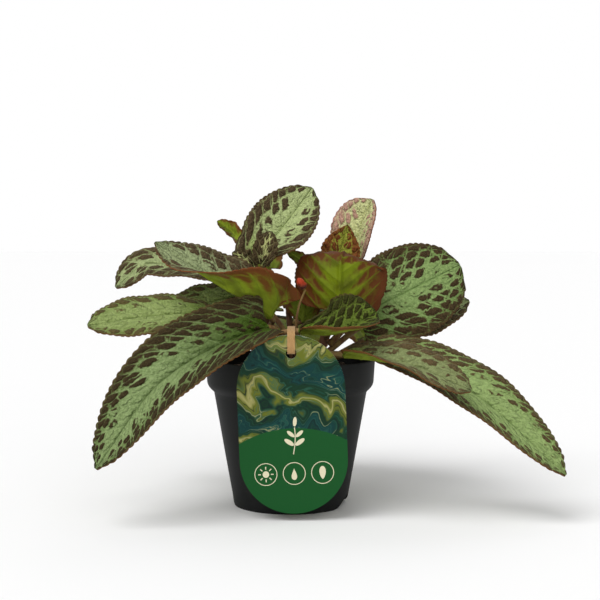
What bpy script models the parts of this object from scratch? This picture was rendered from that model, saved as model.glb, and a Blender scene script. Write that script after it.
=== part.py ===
"""Flame violet in its nursery pot.

The pot stands on the origin with its front toward -Y. Sizes below are in millimetres.
Every leaf is one solid: a round stalk that widens into a toothed blade with a rib beneath it.
"""
import random
from math import cos, pi, radians, sin

import bmesh
import bpy
from mathutils import Matrix, Vector

MM = 0.001

# Pot
RIM_RADIUS = 60.0
POT_HEIGHT = 104.0
RIM_FOOT = 88.0          # where the straight rim band ends
SHOULDER = 80.0          # where the rim has narrowed to the body
BODY_RADIUS = 54.0
FOOT_RADIUS = 40.2
FLOOR_TOP = 10.4
WALL = 1.3
PAD_RADIUS = 15.5        # round pad under the middle of the floor
NOTCH_HEIGHT = 8.4
NOTCH_HALF_WIDTH = 21.0
NOTCH_HEADINGS = (-12.0, 168.0)
DRAIN_HOLES = 8
DRAIN_RADIUS = 3.6
DRAIN_RING = 28.0

# Soil
SOIL_LEVEL = 95.0
SOIL_LUMPS = 1.4
CLEAR = 0.3              # gap between pieces that touch in the real thing
STALK_GAP = 0.6          # between a leaf stalk and its stem
STEM_CAP = 1.6
HOLE_FLOOR = 83.5
STEM_FOOT = 84.0

# Blades
BLADE = 0.8
RIPPLE = 0.9
TOOTH = 1.3              # depth of a tooth on a blade 60 wide
TIP = 0.07               # share of the blade over which its tip rounds off
LOBE_END = 0.16          # share of the blade that its base lobes take
FIRST_RING = 0.012       # share of the blade at its first ring, and at its last
LAST_RING = 0.992
NARROWEST = 0.7          # half width of the blade at its tip
STALK_STEP = 9.0         # length of stalk to a ring
TEETH = ((120, 11), (55, 9), (0, 6))   # blades longer than this have so many teeth a side
RIB_NECK = 0.2           # how much the rib thins where it enters the blade
RIB_TAPER = 0.6          # and how much more it thins towards the tip
ACROSS = (1.0, 0.4, 0.0, -0.4, -1.0)   # where a ring crosses the blade, in half widths

# Label and its band
LABEL_WIDTH = 72.5
LABEL_HEIGHT = 120.4
LABEL_THICK = 0.7
LABEL_LEAN = 2.2
LABEL_CENTRE = (1.7, 65.5)
LABEL_FRONT = -61.0
TAG_HOLE = (0.9, 113.2)
TAG_HOLE_RADIUS = 3.5
BAND_WIDTH = 5.2
BAND_THICK = 0.7

# How fast a blade widens from its stalk, how fast it narrows to its tip, and how far its
# base lobes reach back, as a share of its length.
SHAPES = {
    "broad": (0.30, 0.62, 0.08),
    "long": (0.45, 0.64, 0.05),
    "elliptic": (0.55, 0.56, 0.05),
    "ovate": (0.50, 0.68, 0.12),
    "round": (0.40, 0.46, 0.12),
    "heart": (0.28, 0.80, 0.23),
    "obovate": (0.85, 0.50, 0.03),
    "pointed": (0.40, 0.95, 0.12),
}

# Stems: points from the soil up, radius at the foot, radius at the top.
STEMS = {
    "left": (((-12, 2, STEM_FOOT), (-12, 2, 97), (-16, 4, 128), (-21, 5, 165)), 3.0, 2.0),
    "right": (((20, 10, STEM_FOOT), (20, 10, 97), (27, 15, 130), (36, 24, 161)), 3.0, 2.0),
    "front": (((6, -16, STEM_FOOT), (6, -16, 96), (4, -19, 108), (2, -23, 124)), 2.8, 2.2),
    "back": (((2, 28, STEM_FOOT), (2, 28, 97), (0, 32, 118), (-2, 36, 142)), 2.8, 2.0),
}


class Leaf:
    """One leaf. face, fold and curl are angles in degrees.

    face: (azimuth, elevation) of the upper side at the blade's base and at its tip.
    fold: how far each half rises from flat, (right, left), at the base and at the tip.
    curl: how much further each half turns between the midrib and its margin.
    """

    def __init__(self, name, stem, height, base, middle, tip, width, face,
                 fold=((10, 10), (8, 8)), curl=(0, 0), shape="ovate", stalk=2.0, via=None):
        self.name = name
        self.stem = stem
        self.height = height
        self.path = [Vector(p) for p in ([via] if via else []) + [base, middle, tip]]
        self.blade_start = 2 if via else 1
        self.width = width
        self.face = face
        self.fold = fold
        self.curl = curl
        self.shape = shape
        self.stalk = stalk


LEAVES = [
    Leaf("front_left", "front", 111, (-16, -36, 128), (-83, -66, 97), (-127, -88, 39), 60,
         ((-80, 50), (-100, 30)), ((38, 38), (14, 26)), (-15, -10), "broad", 2.4),
    Leaf("left_low", "left", 108, (-54, -18, 135), (-97, -32, 136), (-138, -44, 130), 41,
         ((-95, 50), (-95, 48)), ((10, 10), (10, 10)), (-10, -10), "elliptic"),
    Leaf("left_behind", "left", 120, (-30, 22, 145), (-63, 28, 141), (-98, 36, 132), 34,
         ((-95, 45), (-95, 45)), ((10, 10), (10, 10)), (0, 0), "elliptic"),
    Leaf("left_arched", "left", 136, (-38, 16, 158), (-102, 24, 170), (-127, 20, 152), 34,
         ((-90, 60), (-100, 45)), ((10, 10), (10, 10)), (0, 0), "elliptic"),
    Leaf("left_folded", "left", 125, (-14, -22, 135), (-52, -28, 160), (-94, -26, 187), 62,
         ((-90, 85), (-90, 85)), ((39, 95), (45, -50)), (0, 0), "heart"),
    Leaf("top_large", "left", 150, (-24, 10, 172), (-5, 13, 197), (16, 14, 225), 52,
         ((-90, 15), (-90, 5)), ((58, 12), (12, 8)), (0, -10), "ovate", 1.6),
    Leaf("top_small", "left", 161, (-20, -8, 171), (-17, -10, 183), (-13, -8, 194), 18,
         ((-90, 15), (-90, 5)), ((14, 14), (8, 8)), (0, 0), "ovate", 1.0),
    Leaf("top_small_left", "left", 159, (-26, 2, 169), (-33, 0, 174), (-41, -1, 179), 16,
         ((-90, 40), (-90, 40)), ((14, 14), (8, 8)), (0, 0), "ovate", 0.9),
    Leaf("top_back", "left", 156, (-36, 22, 183), (-42, 25, 193), (-53, 24, 201), 14,
         ((90, 60), (90, 30)), ((20, 20), (20, 20)), (0, 0), "ovate", 0.8, via=(-35, 9, 164)),
    Leaf("pink_upright", "right", 142, (49, 54, 168), (52, 58, 194), (61, 56, 217), 45,
         ((-105, 0), (-105, 0)), ((60, 5), (55, 5)), (0, 0), "elliptic", 1.4),
    Leaf("red_upright", "right", 154, (35, 40, 170), (38, 42, 184), (42, 40, 198), 30,
         ((-90, -5), (-90, -5)), ((10, 10), (8, 8)), (0, 0), "pointed", 1.2),
    Leaf("centre_arched", "right", 118, (33, -8, 137), (36, -3, 176), (43, 30, 172), 70,
         ((90, 10), (90, -70)), ((10, 10), (0, 0)), (35, 15), "broad", 2.2),
    Leaf("centre_small", "right", 148, (16, 38, 165), (8, 38, 172), (-3, 38, 179), 11,
         ((90, 30), (90, 30)), ((10, 10), (10, 10)), (0, 0), "ovate", 0.9),
    Leaf("front_small", "front", 122, (7, -46, 127), (32, -50, 127), (59, -46, 140), 48,
         ((-80, 30), (-80, 40)), ((80, 15), (20, 10)), (40, 0), "obovate", 1.8, via=(-6, -38, 125)),
    Leaf("right_large", "right", 112, (48, 18, 131), (86, 20, 151), (124, 30, 169), 70,
         ((-85, 20), (-85, 20)), ((5, 5), (0, 0)), (-10, -10), "round", 2.4),
    Leaf("right_behind", "right", 106, (58, 32, 127), (95, 36, 133), (132, 38, 142), 52,
         ((-90, 50), (-90, 50)), ((5, 5), (5, 5)), (0, 0), "ovate", 2.2),
    Leaf("front_right", "front", 99, (57, -24, 111), (122, -44, 86), (184, -72, 32), 54,
         ((-85, 50), (-75, 35)), ((24, 12), (32, 8)), (0, -20), "long", 2.4),
    Leaf("front_right_upper", "front", 107, (37, -46, 111), (81, -68, 106), (120, -78, 90), 37,
         ((-85, 45), (-75, 45)), ((70, 10), (10, 10)), (0, -10), "elliptic"),
    Leaf("back_centre", "back", 108, (4, 54, 126), (6, 98, 116), (10, 142, 74), 50,
         ((90, 75), (90, 50)), ((14, 14), (10, 10)), (-10, -10), "long", 2.2),
    Leaf("back_left", "back", 118, (-18, 50, 134), (-42, 82, 128), (-64, 114, 92), 46,
         ((110, 70), (110, 50)), ((12, 12), (8, 8)), (-10, -10), "ovate"),
    Leaf("back_right", "back", 116, (20, 50, 132), (44, 86, 128), (66, 118, 96), 46,
         ((70, 70), (70, 50)), ((12, 12), (8, 8)), (-10, -10), "ovate"),
    Leaf("back_low_left", "left", 102, (-38, 26, 114), (-72, 52, 114), (-104, 76, 88), 40,
         ((120, 75), (120, 55)), ((10, 10), (8, 8)), (0, 0), "elliptic"),
    Leaf("back_low_right", "right", 99, (54, 40, 112), (84, 62, 118), (104, 80, 118), 38,
         ((60, 70), (60, 60)), ((10, 10), (8, 8)), (0, 0), "elliptic"),
    Leaf("back_upper_left", "back", 137, (-16, 52, 165), (-22, 63, 181), (-28, 76, 198), 32,
         ((110, 25), (110, 10)), ((12, 12), (8, 8)), (0, 0), "ovate", 1.4),
    Leaf("back_upper_right", "back", 133, (18, 56, 150), (38, 76, 160), (56, 96, 160), 36,
         ((80, 60), (80, 60)), ((12, 12), (8, 8)), (0, 0), "ovate", 1.4),
    Leaf("centre_back", "back", 126, (9, 27, 128), (9, 27, 142), (8, 28, 155), 26,
         ((90, 5), (90, 5)), ((10, 10), (8, 8)), (0, 0), "ovate", 1.4),
]


def clear_scene():
    for old in list(bpy.data.objects):
        bpy.data.objects.remove(old, do_unlink=True)


def material(name, colour, roughness, metallic=0.0):
    made = bpy.data.materials.new(name)
    made.use_nodes = True
    shader = made.node_tree.nodes["Principled BSDF"]
    shader.inputs["Base Color"].default_value = (*colour, 1.0)
    shader.inputs["Roughness"].default_value = roughness
    shader.inputs["Metallic"].default_value = metallic
    return made


def add_mesh(name, points, faces, look):
    """Add a mesh object from points in millimetres."""
    mesh = bpy.data.meshes.new(name)
    mesh.from_pydata([Vector(p) * MM for p in points], [], faces)
    shape = bmesh.new()
    shape.from_mesh(mesh)
    bmesh.ops.recalc_face_normals(shape, faces=shape.faces)
    shape.to_mesh(mesh)
    shape.free()
    mesh.materials.append(look)
    piece = bpy.data.objects.new(name, mesh)
    bpy.context.scene.collection.objects.link(piece)
    return piece


def lathe(name, profile, steps, look):
    """Turn a profile of (radius, height) about the Z axis."""
    mesh = bpy.data.meshes.new(name)
    count = len(profile)
    edges = [(i, i + 1) for i in range(count - 1)]
    mesh.from_pydata([(r * MM, 0, z * MM) for r, z in profile], edges, [])
    mesh.materials.append(look)
    piece = bpy.data.objects.new(name, mesh)
    bpy.context.scene.collection.objects.link(piece)
    turn = piece.modifiers.new("turn", "SCREW")
    turn.axis = "Z"
    turn.steps = steps
    turn.render_steps = steps
    turn.use_merge_vertices = True
    turn.merge_threshold = 0.00001
    return piece


def apply_modifiers(piece):
    """Replace a piece's mesh by the shape that its modifiers make."""
    graph = bpy.context.evaluated_depsgraph_get()
    graph.update()
    final = bpy.data.meshes.new_from_object(piece.evaluated_get(graph))
    piece.modifiers.clear()
    piece.data = final


def cutter_collection():
    found = bpy.data.collections.get("cutters")
    if found is None:
        found = bpy.data.collections.new("cutters")
        bpy.context.scene.collection.children.link(found)
    return found


def cut(piece, name, points, faces):
    """Cut a closed shape, given in millimetres, out of a piece."""
    tool = add_mesh(name, points, faces, piece.data.materials[0])
    bpy.context.scene.collection.objects.unlink(tool)
    cutter_collection().objects.link(tool)
    tool.display_type = "WIRE"
    tool.hide_render = True
    step = piece.modifiers.new(name, "BOOLEAN")
    step.operation = "DIFFERENCE"
    step.solver = "EXACT"
    step.object = tool


def prism(outline, offset):
    """Points and faces of an outline swept along an offset vector."""
    count = len(outline)
    points = [Vector(p) for p in outline] + [Vector(p) + Vector(offset) for p in outline]
    faces = [tuple(range(count)), tuple(range(2 * count - 1, count - 1, -1))]
    for i in range(count):
        j = (i + 1) % count
        faces.append((i, i + count, j + count, j))
    return points, faces


def circle(centre, radius, sides=16):
    """A flat ring of points about a vertical axis."""
    x, y, z = centre
    turns = [2 * pi * i / sides for i in range(sides)]
    return [(x + radius * cos(a), y + radius * sin(a), z) for a in turns]


def smooth_path(points, steps):
    """Points along a smooth curve through the given points."""
    ends = [2 * points[0] - points[1]] + list(points) + [2 * points[-1] - points[-2]]
    path = []
    for i in range(1, len(ends) - 2):
        before, here, there, after = ends[i - 1:i + 3]
        gap = (there - here).length
        leave = (there - before) * gap / ((there - here).length + (here - before).length)
        reach = (after - here) * gap / ((after - there).length + (there - here).length)
        for k in range(steps):
            t = k / steps
            path.append((2 * t**3 - 3 * t**2 + 1) * here + (t**3 - 2 * t**2 + t) * leave
                        + (3 * t**2 - 2 * t**3) * there + (t**3 - t**2) * reach)
    path.append(points[-1].copy())
    return path


class Spine:
    """A smooth curve that can be asked for a place and a direction at any distance along it."""

    def __init__(self, points, zero_at):
        steps = 16
        self.points = smooth_path(points, steps)
        total = [0.0]
        for a, b in zip(self.points, self.points[1:]):
            total.append(total[-1] + (b - a).length)
        zero = total[zero_at * steps]
        self.arc = [t - zero for t in total]
        self.length = self.arc[-1]

    def at(self, distance):
        distance = min(max(distance, self.arc[0]), self.arc[-1])
        last = len(self.arc) - 2
        i = min(next((k for k, a in enumerate(self.arc[1:]) if a >= distance), last), last)
        share = (distance - self.arc[i]) / (self.arc[i + 1] - self.arc[i])
        place = self.points[i].lerp(self.points[i + 1], share)
        ahead = self.points[min(i + 2, last + 1)] - self.points[i + 1 if i < last else i]
        behind = self.points[i + 1] - self.points[i]
        return place, behind.normalized().lerp(ahead.normalized(), share).normalized()


def stem_at(name, height):
    """Place and radius of a stem at a height above the table."""
    points, foot_radius, top_radius = STEMS[name]
    path = smooth_path([Vector(p) for p in points], 16)
    for low, high in zip(path, path[1:]):
        if low.z <= height <= high.z:
            share = (height - low.z) / (high.z - low.z)
            rise = (height - path[0].z) / (path[-1].z - path[0].z)
            return low.lerp(high, share), foot_radius + (top_radius - foot_radius) * rise
    return path[-1], top_radius


def heading(azimuth, elevation):
    a, e = radians(azimuth), radians(elevation)
    return Vector((cos(a) * cos(e), sin(a) * cos(e), sin(e)))


class Blade:
    """The surface of one leaf, as a function of distance along and across it."""

    def __init__(self, leaf, number):
        self.leaf = leaf
        self.number = number
        centre, radius = stem_at(leaf.stem, leaf.height)
        away = leaf.path[0] - centre
        steep = abs(away.normalized().z)
        away.z = 0
        root = centre + away.normalized() * (radius + leaf.stalk * steep + STALK_GAP)
        self.spine = Spine([root] + leaf.path, leaf.blade_start)
        self.length = self.spine.length

    def share(self, along):
        return min(max(along / self.length, 0.0), 1.0)

    def frame(self, along):
        """Place, side direction and upward direction at a distance along the midrib."""
        place, ahead = self.spine.at(along)
        facing = heading(*self.leaf.face[0]).lerp(heading(*self.leaf.face[1]), self.share(along))
        side = ahead.cross(facing).normalized()
        return place, side, side.cross(ahead)

    def across(self, along, lateral):
        """Offset sideways and upward at a distance to the right of the midrib, and its slope."""
        hand = 0 if lateral >= 0 else 1
        half = self.leaf.width / 2
        v = abs(lateral) / half
        u = self.share(along)
        fold = radians(self.leaf.fold[0][hand] * (1 - u) + self.leaf.fold[1][hand] * u)
        curl = radians(self.leaf.curl[hand])
        if abs(curl) < 0.001:
            out, rise = half * v * cos(fold), half * v * sin(fold)
        else:
            out = half * (sin(fold + curl * v) - sin(fold)) / curl
            rise = half * (cos(fold) - cos(fold + curl * v)) / curl
        rise += RIPPLE * v * v * sin(2 * pi * 3 * u + 1.7 * self.number + 2 * hand)
        sign = 1 if hand == 0 else -1
        return sign * out, rise, sign * (fold + curl * v)

    def point(self, along, lateral, depth=0.0):
        """A point of the upper side, or at a depth below it."""
        start = max(along, 0.0)
        place, side, up = self.frame(start)
        if along < 0:
            place = place + self.spine.at(0.0)[1] * along
        out, rise, slope = self.across(start, lateral)
        normal = up * cos(slope) - side * sin(slope)
        return place + side * out + up * rise - normal * depth

    def margin(self, t):
        """Distance along and half width of the margin, for t from 0 at the stalk to 1 at the tip."""
        widen, narrow, lobe = SHAPES[self.leaf.shape]
        peak = widen / (widen + narrow)
        fullest = peak**widen * (1 - peak)**narrow
        back = lobe * sin(pi * min(t / LOBE_END, 1.0))
        half = self.leaf.width / 2 * t**widen * (1 - t)**narrow / fullest
        return self.length * (t - back), half * min((1 - t) / TIP, 1.0)**0.5

    def rib(self, along):
        """Radius of the stalk, and of the rib that carries on from it under the blade."""
        u = self.share(along)
        return self.leaf.stalk * (1 - RIB_NECK * u**0.5 - RIB_TAPER * u)


def stalk_ring(blade, along):
    place, side, up = blade.frame(along)
    radius = blade.rib(along)
    ring = []
    for i in range(10):
        turn = radians(18 + 36 * i)
        ring.append(place + (side * cos(turn) + up * sin(turn)) * radius)
    return ring


def blade_ring(blade, t, tooth):
    """Ten points around the blade: five over its upper side, five back beneath it."""
    edge, half = blade.margin(t)
    half = max(half - tooth, NARROWEST)
    middle = blade.length * t
    ring = [blade.point(middle + (edge - middle) * abs(w), w * half) for w in ACROSS]
    for w in reversed(ACROSS):
        depth = BLADE if w else BLADE + blade.rib(middle)
        ring.append(blade.point(middle + (edge - middle) * abs(w), w * half, depth))
    return ring


def loft(rings):
    """Skin over equal rings, closed at both ends, cut alike above and beneath."""
    count = len(rings[0])
    points = [p for ring in rings for p in ring]
    faces = [tuple(range(count)), tuple(range(len(points) - count, len(points)))]
    for row in range(len(rings) - 1):
        for k in range(count):
            a, b = row * count + k, row * count + (k + 1) % count
            c, d = a + count, b + count
            if k < count // 2:
                faces += [(a, c, d), (a, d, b)]
            else:
                faces += [(a, c, b), (b, c, d)]
    return points, faces


def build_leaf(leaf, number, look):
    blade = Blade(leaf, number)
    reach = -blade.spine.arc[0]
    stalk_steps = max(3, round(reach / STALK_STEP))
    rings = [stalk_ring(blade, -reach + (reach - 1.0) * i / stalk_steps)
             for i in range(stalk_steps + 1)]
    teeth = next(count for length, count in TEETH if blade.length > length)
    depth = TOOTH * (leaf.width / 60)**0.5
    rows = 2 * teeth
    for i in range(rows + 1):
        u = i / rows
        eased = 0.55 * u + 0.45 * (0.5 - 0.5 * cos(pi * u))
        t = FIRST_RING + (LAST_RING - FIRST_RING) * eased
        rings.append(blade_ring(blade, t, depth if i % 2 else 0.0))
    points, faces = loft(rings)
    return add_mesh("leaf_" + leaf.name, points, faces, look)


def tube(path, radii, sides=8):
    """Points and faces of a round tube along a path."""
    rings = []
    side = Vector((1, 0, 0))
    for i, place in enumerate(path):
        ahead = (path[min(i + 1, len(path) - 1)] - path[max(i - 1, 0)]).normalized()
        side = (side - ahead * side.dot(ahead)).normalized()
        up = ahead.cross(side)
        turns = [2 * pi * k / sides for k in range(sides)]
        rings.append([place + (side * cos(a) + up * sin(a)) * radii[i] for a in turns])
    return loft(rings)


def build_pot(look):
    body = [
        (RIM_RADIUS, POT_HEIGHT), (RIM_RADIUS - 1, RIM_FOOT), (RIM_RADIUS - 1.6, RIM_FOOT - 2.5),
        (RIM_RADIUS - 3.4, RIM_FOOT - 5.2), (BODY_RADIUS + 0.4, SHOULDER + 0.8),
        (BODY_RADIUS, SHOULDER), (41.3, 8), (FOOT_RADIUS, 0),
    ]
    beneath = [(FOOT_RADIUS - 1.5, 0), (FOOT_RADIUS - 0.8, FLOOR_TOP - 1.4),
               (PAD_RADIUS + 1.6, FLOOR_TOP - 1.4), (PAD_RADIUS, 0), (0, 0)]
    inside = [
        (0, 1.4), (PAD_RADIUS - 1.5, 1.4), (PAD_RADIUS + 0.2, FLOOR_TOP),
        (41.8 - WALL, FLOOR_TOP), (BODY_RADIUS - WALL, SHOULDER + 0.3),
        (BODY_RADIUS - WALL + 0.4, SHOULDER + 1.3), (RIM_RADIUS - 3.6 - WALL, RIM_FOOT - 4.5),
        (RIM_RADIUS - 1.7 - WALL, RIM_FOOT - 2), (RIM_RADIUS - 1 - WALL, RIM_FOOT + 0.6),
        (RIM_RADIUS - WALL, POT_HEIGHT),
    ]
    pot = lathe("pot", body + beneath + inside + body[:1], 56, look)
    for number, turn in enumerate(NOTCH_HEADINGS):
        cut(pot, f"notch_{number}", *foot_notch(turn))
    for number in range(DRAIN_HOLES):
        turn = 2 * pi * (number + 0.5) / DRAIN_HOLES
        centre = (DRAIN_RING * cos(turn), DRAIN_RING * sin(turn), FLOOR_TOP - 3)
        cut(pot, f"drain_{number}", *prism(circle(centre, DRAIN_RADIUS, 12), (0, 0, 5)))
    apply_modifiers(pot)
    return pot


def foot_notch(turn):
    """A low arch that rises gently from the table and crosses the foot of the wall."""
    steps = 12
    outline = [(30, NOTCH_HALF_WIDTH, -2), (30, -NOTCH_HALF_WIDTH, -2)]
    for i in range(steps + 1):
        x = -NOTCH_HALF_WIDTH + 2 * NOTCH_HALF_WIDTH * i / steps
        outline.append((30, x, NOTCH_HEIGHT * (0.5 + 0.5 * cos(pi * x / NOTCH_HALF_WIDTH)) - 0.01))
    points, faces = prism(outline, (16, 0, 0))
    spin = Matrix.Rotation(radians(turn), 3, "Z")
    return [spin @ p for p in points], faces


def build_soil(look):
    rings = [(56.9, SOIL_LEVEL - 0.6), (50, SOIL_LEVEL), (42, SOIL_LEVEL), (33, SOIL_LEVEL + 0.8),
             (24, SOIL_LEVEL + 0.8), (15, SOIL_LEVEL + 1), (7, SOIL_LEVEL + 1), (0, SOIL_LEVEL + 1)]
    side = [
        (0, 1.4 + CLEAR), (PAD_RADIUS - 1.5 - CLEAR, 1.4 + CLEAR),
        (PAD_RADIUS - CLEAR, FLOOR_TOP + CLEAR), (41.8 - WALL - CLEAR, FLOOR_TOP + CLEAR),
        (BODY_RADIUS - WALL - 0.4, SHOULDER + 0.2), (RIM_RADIUS - 3.6 - WALL - 0.5, RIM_FOOT - 4.2),
        (RIM_RADIUS - 1 - WALL - 0.7, RIM_FOOT + 0.6),
    ]
    soil = lathe("soil", rings[:1] + side[::-1] + rings[::-1], 30, look)
    apply_modifiers(soil)
    roughen(soil)
    for name, (points, foot_radius, _) in STEMS.items():
        x, y, _ = points[0]
        well = circle((x, y, HOLE_FLOOR), foot_radius + CLEAR, 12)
        cut(soil, f"well_{name}", *prism(well, (0, 0, 20)))
    apply_modifiers(soil)
    return soil


def roughen(soil):
    """Lift and sink the points of the soil's top, away from its edge, into low lumps."""
    chance = random.Random(5)
    for vertex in soil.data.vertices:
        reach = Vector(vertex.co[:2]).length / MM
        if vertex.co.z > (SOIL_LEVEL - 0.3) * MM and 1 < reach < 52:
            vertex.co.z += chance.uniform(-SOIL_LUMPS, SOIL_LUMPS) * MM
    shape = bmesh.new()
    shape.from_mesh(soil.data)
    bmesh.ops.triangulate(shape, faces=shape.faces)
    shape.to_mesh(soil.data)
    shape.free()


def build_stem(name, look):
    points, foot_radius, top_radius = STEMS[name]
    path = smooth_path([Vector(p) for p in points], 3)
    last = len(path) - 1
    radii = []
    for i in range(last + 1):
        radii.append(foot_radius + (top_radius - foot_radius) * i / last)
    path.append(path[-1] + (path[-1] - path[-2]).normalized() * STEM_CAP)
    radii.append(top_radius / 2)
    return add_mesh("stem_" + name, *tube(path, radii, 10), look)


def stadium(width, height, steps=12):
    """Outline in x and z of a strip with two round ends, centred on the origin."""
    radius = width / 2
    rise = height / 2 - radius
    top = [(radius * cos(pi * i / steps), rise + radius * sin(pi * i / steps))
           for i in range(steps + 1)]
    return top + [(-x, -z) for x, z in top]


def build_label(look):
    lean = Matrix.Rotation(radians(LABEL_LEAN), 2)
    outline = []
    for x, z in stadium(LABEL_WIDTH, LABEL_HEIGHT):
        turned = lean @ Vector((x, z))
        outline.append((LABEL_CENTRE[0] + turned.x, LABEL_FRONT, LABEL_CENTRE[1] + turned.y))
    label = add_mesh("label", *prism(outline, (0, LABEL_THICK, 0)), look)
    hole = [(TAG_HOLE[0] + TAG_HOLE_RADIUS * cos(2 * pi * i / 20), LABEL_FRONT - 2,
             TAG_HOLE[1] + TAG_HOLE_RADIUS * sin(2 * pi * i / 20)) for i in range(20)]
    cut(label, "tag_hole", *prism(hole, (0, LABEL_THICK + 4, 0)))
    apply_modifiers(label)
    return label


def build_band(look):
    """A flat closed loop through the label's hole and over a leaf stalk."""
    route = [(-60.6, 113.4), (-62.3, 116), (-62.4, 122), (-61.2, 126.3), (-57, 128.5), (-50, 129.7),
             (-43.5, 129.6), (-39.8, 127.2), (-39.6, 123), (-43.5, 119), (-50, 115.6), (-57.6, 112.9)]
    points = [Vector((TAG_HOLE[0], y, z)) for y, z in route]
    count = len(points)
    loop = []
    for i in range(count):
        part = smooth_path([points[(i + k) % count] for k in (-1, 0, 1, 2)], 2)
        loop += part[2:4]
    rings = []
    across = Vector((1, 0, 0))
    for i, place in enumerate(loop):
        ahead = (loop[(i + 1) % len(loop)] - loop[i - 1]).normalized()
        out = across.cross(ahead)
        rings.append([place + across * sx * BAND_WIDTH / 2 + out * sz * BAND_THICK / 2
                      for sx, sz in ((1, 1), (-1, 1), (-1, -1), (1, -1))])
    corners = [p for ring in rings for p in ring]
    faces = []
    for row in range(len(rings)):
        for k in range(4):
            a, b = row * 4 + k, row * 4 + (k + 1) % 4
            c, d = (a + 4) % len(corners), (b + 4) % len(corners)
            faces.append((a, c, d, b))
    return add_mesh("label_band", corners, faces, look)


def build_flower(stalk_look, bud_look):
    centre, radius = stem_at("front", 115)
    foot = centre + Vector((0.9, -0.5, 0)).normalized() * (radius + CLEAR + 0.9)
    path = smooth_path([foot, Vector((4, -28, 128)), Vector((6, -29, 142)),
                        Vector((10.4, -28, 154))], 3)
    radii = [0.9 - 0.2 * i / (len(path) - 1) for i in range(len(path))]
    add_mesh("flower_stalk", *tube(path, radii, 6), stalk_look)
    aim = (Vector((5.2, -29.5, 162)) - path[-1]).normalized()
    start = path[-1] + aim * (CLEAR + 0.5)
    profile = [(0.0, 0.9), (0.8, 2.2), (2.4, 2.9), (3.8, 2.6), (5.2, 2.8), (7.0, 2.2), (8.6, 0.8)]
    bud_path = [start + aim * along for along, _ in profile]
    add_mesh("flower_bud", *tube(bud_path, [r for _, r in profile], 10), bud_look)


def main():
    clear_scene()
    plastic = material("pot_plastic", (0.035, 0.036, 0.04), 0.55)
    peat = material("peat", (0.045, 0.03, 0.02), 0.95)
    stem_skin = material("stem_skin", (0.30, 0.13, 0.08), 0.7)
    leaf_skin = material("leaf_skin", (0.20, 0.28, 0.12), 0.75)
    petal = material("petal", (0.75, 0.12, 0.05), 0.6)
    card = material("card", (0.05, 0.22, 0.13), 0.4)
    raffia = material("raffia", (0.62, 0.40, 0.22), 0.7)
    build_pot(plastic)
    build_soil(peat)
    for name in STEMS:
        build_stem(name, stem_skin)
    for number, leaf in enumerate(LEAVES):
        build_leaf(leaf, number, leaf_skin)
    build_flower(stem_skin, petal)
    build_label(card)
    build_band(raffia)


main()
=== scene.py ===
"""Flame violet in its nursery pot: the finish of every piece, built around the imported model.

Sizes are in millimetres unless a name says otherwise, and the pot's front is towards -Y.
Each leaf is modelled again from the same curves as its solid, with finer teeth, quilting and veins.
"""
import random
from math import cos, pi, radians, sin

import bmesh
import bpy
import numpy as np
from mathutils import Matrix, Vector, noise


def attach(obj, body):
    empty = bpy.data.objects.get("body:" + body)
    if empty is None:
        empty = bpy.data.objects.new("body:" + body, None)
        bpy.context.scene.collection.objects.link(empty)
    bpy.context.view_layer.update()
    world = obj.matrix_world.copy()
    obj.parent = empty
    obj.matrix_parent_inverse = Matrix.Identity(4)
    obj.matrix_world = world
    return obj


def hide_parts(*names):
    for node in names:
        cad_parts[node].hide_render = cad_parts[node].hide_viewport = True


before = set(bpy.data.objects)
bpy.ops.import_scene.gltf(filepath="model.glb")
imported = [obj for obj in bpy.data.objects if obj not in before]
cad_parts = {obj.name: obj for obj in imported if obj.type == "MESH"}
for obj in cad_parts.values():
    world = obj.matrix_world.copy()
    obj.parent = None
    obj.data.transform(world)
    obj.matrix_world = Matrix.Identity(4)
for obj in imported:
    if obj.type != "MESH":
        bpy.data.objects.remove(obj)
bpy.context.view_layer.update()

MM = 0.001

# Camera, in metres, as the photograph was taken
CAMERA_PLACE = (0.0068, -1.0, 0.209)
CAMERA_AIM = (0.0068, 0.0, 0.145)
CAMERA_LENS = 85.0
SENSOR_WIDTH = 36.0

# Pot
RIM_RADIUS = 60.0
POT_HEIGHT = 104.0
RIM_FOOT = 88.0
SHOULDER = 80.0
BODY_RADIUS = 54.0
FOOT_RADIUS = 40.2
FLOOR_TOP = 10.4
FLOOR_RADIUS = 41.8      # outside of the wall at the floor's height
WALL = 1.3
PAD_RADIUS = 15.5
NOTCH_HEIGHT = 8.4
NOTCH_HALF_WIDTH = 21.0
NOTCH_HEADINGS = (-12.0, 168.0)
DRAIN_HOLES = 8
DRAIN_RADIUS = 3.6
DRAIN_RING = 28.0
PAD_TOP = 1.4            # top of the floor inside, over the pad

# Soil and stems
SOIL_LEVEL = 95.0
SOIL_REACH = 57.0        # radius over which the soil rises to its middle
SOIL_EDGE = 56.9
CRUMBS = 420
FIBRES = 90
CLEAR = 0.3
STALK_GAP = 0.6
STEM_FOOT = 84.0

# Blades
BLADE = 0.8
RIPPLE = 0.9
TOOTH = 1.3
TIP = 0.07               # share of the blade over which its tip rounds off
LOBE_END = 0.16          # share of the blade that its base lobes take
FIRST_RING = 0.004       # share of the blade at its first ring, and at its last
LAST_RING = 0.9885
NARROWEST = 0.25         # half width of the blade at its tip
STALK_END = 0.8          # how far before the blade's foot the stalk's last ring lies
RIB_NECK = 0.2
RIB_TAPER = 0.6
GROOVE = 0.30            # depth of the groove over the midrib, in midrib radii
RIDGE = 0.34             # height of a side vein below the blade
QUILT = 0.80             # how far the blade swells between its veins
FIELD_LENGTH = 10.0      # spacing of the fields between two side veins, and across the blade
FIELD_WIDTH = 7.5
LONG_BLADE = 120.0       # blades longer than this have the most side veins, and steeper ones
SHORT_BLADE = 45.0       # and blades shorter than this the fewest

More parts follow.
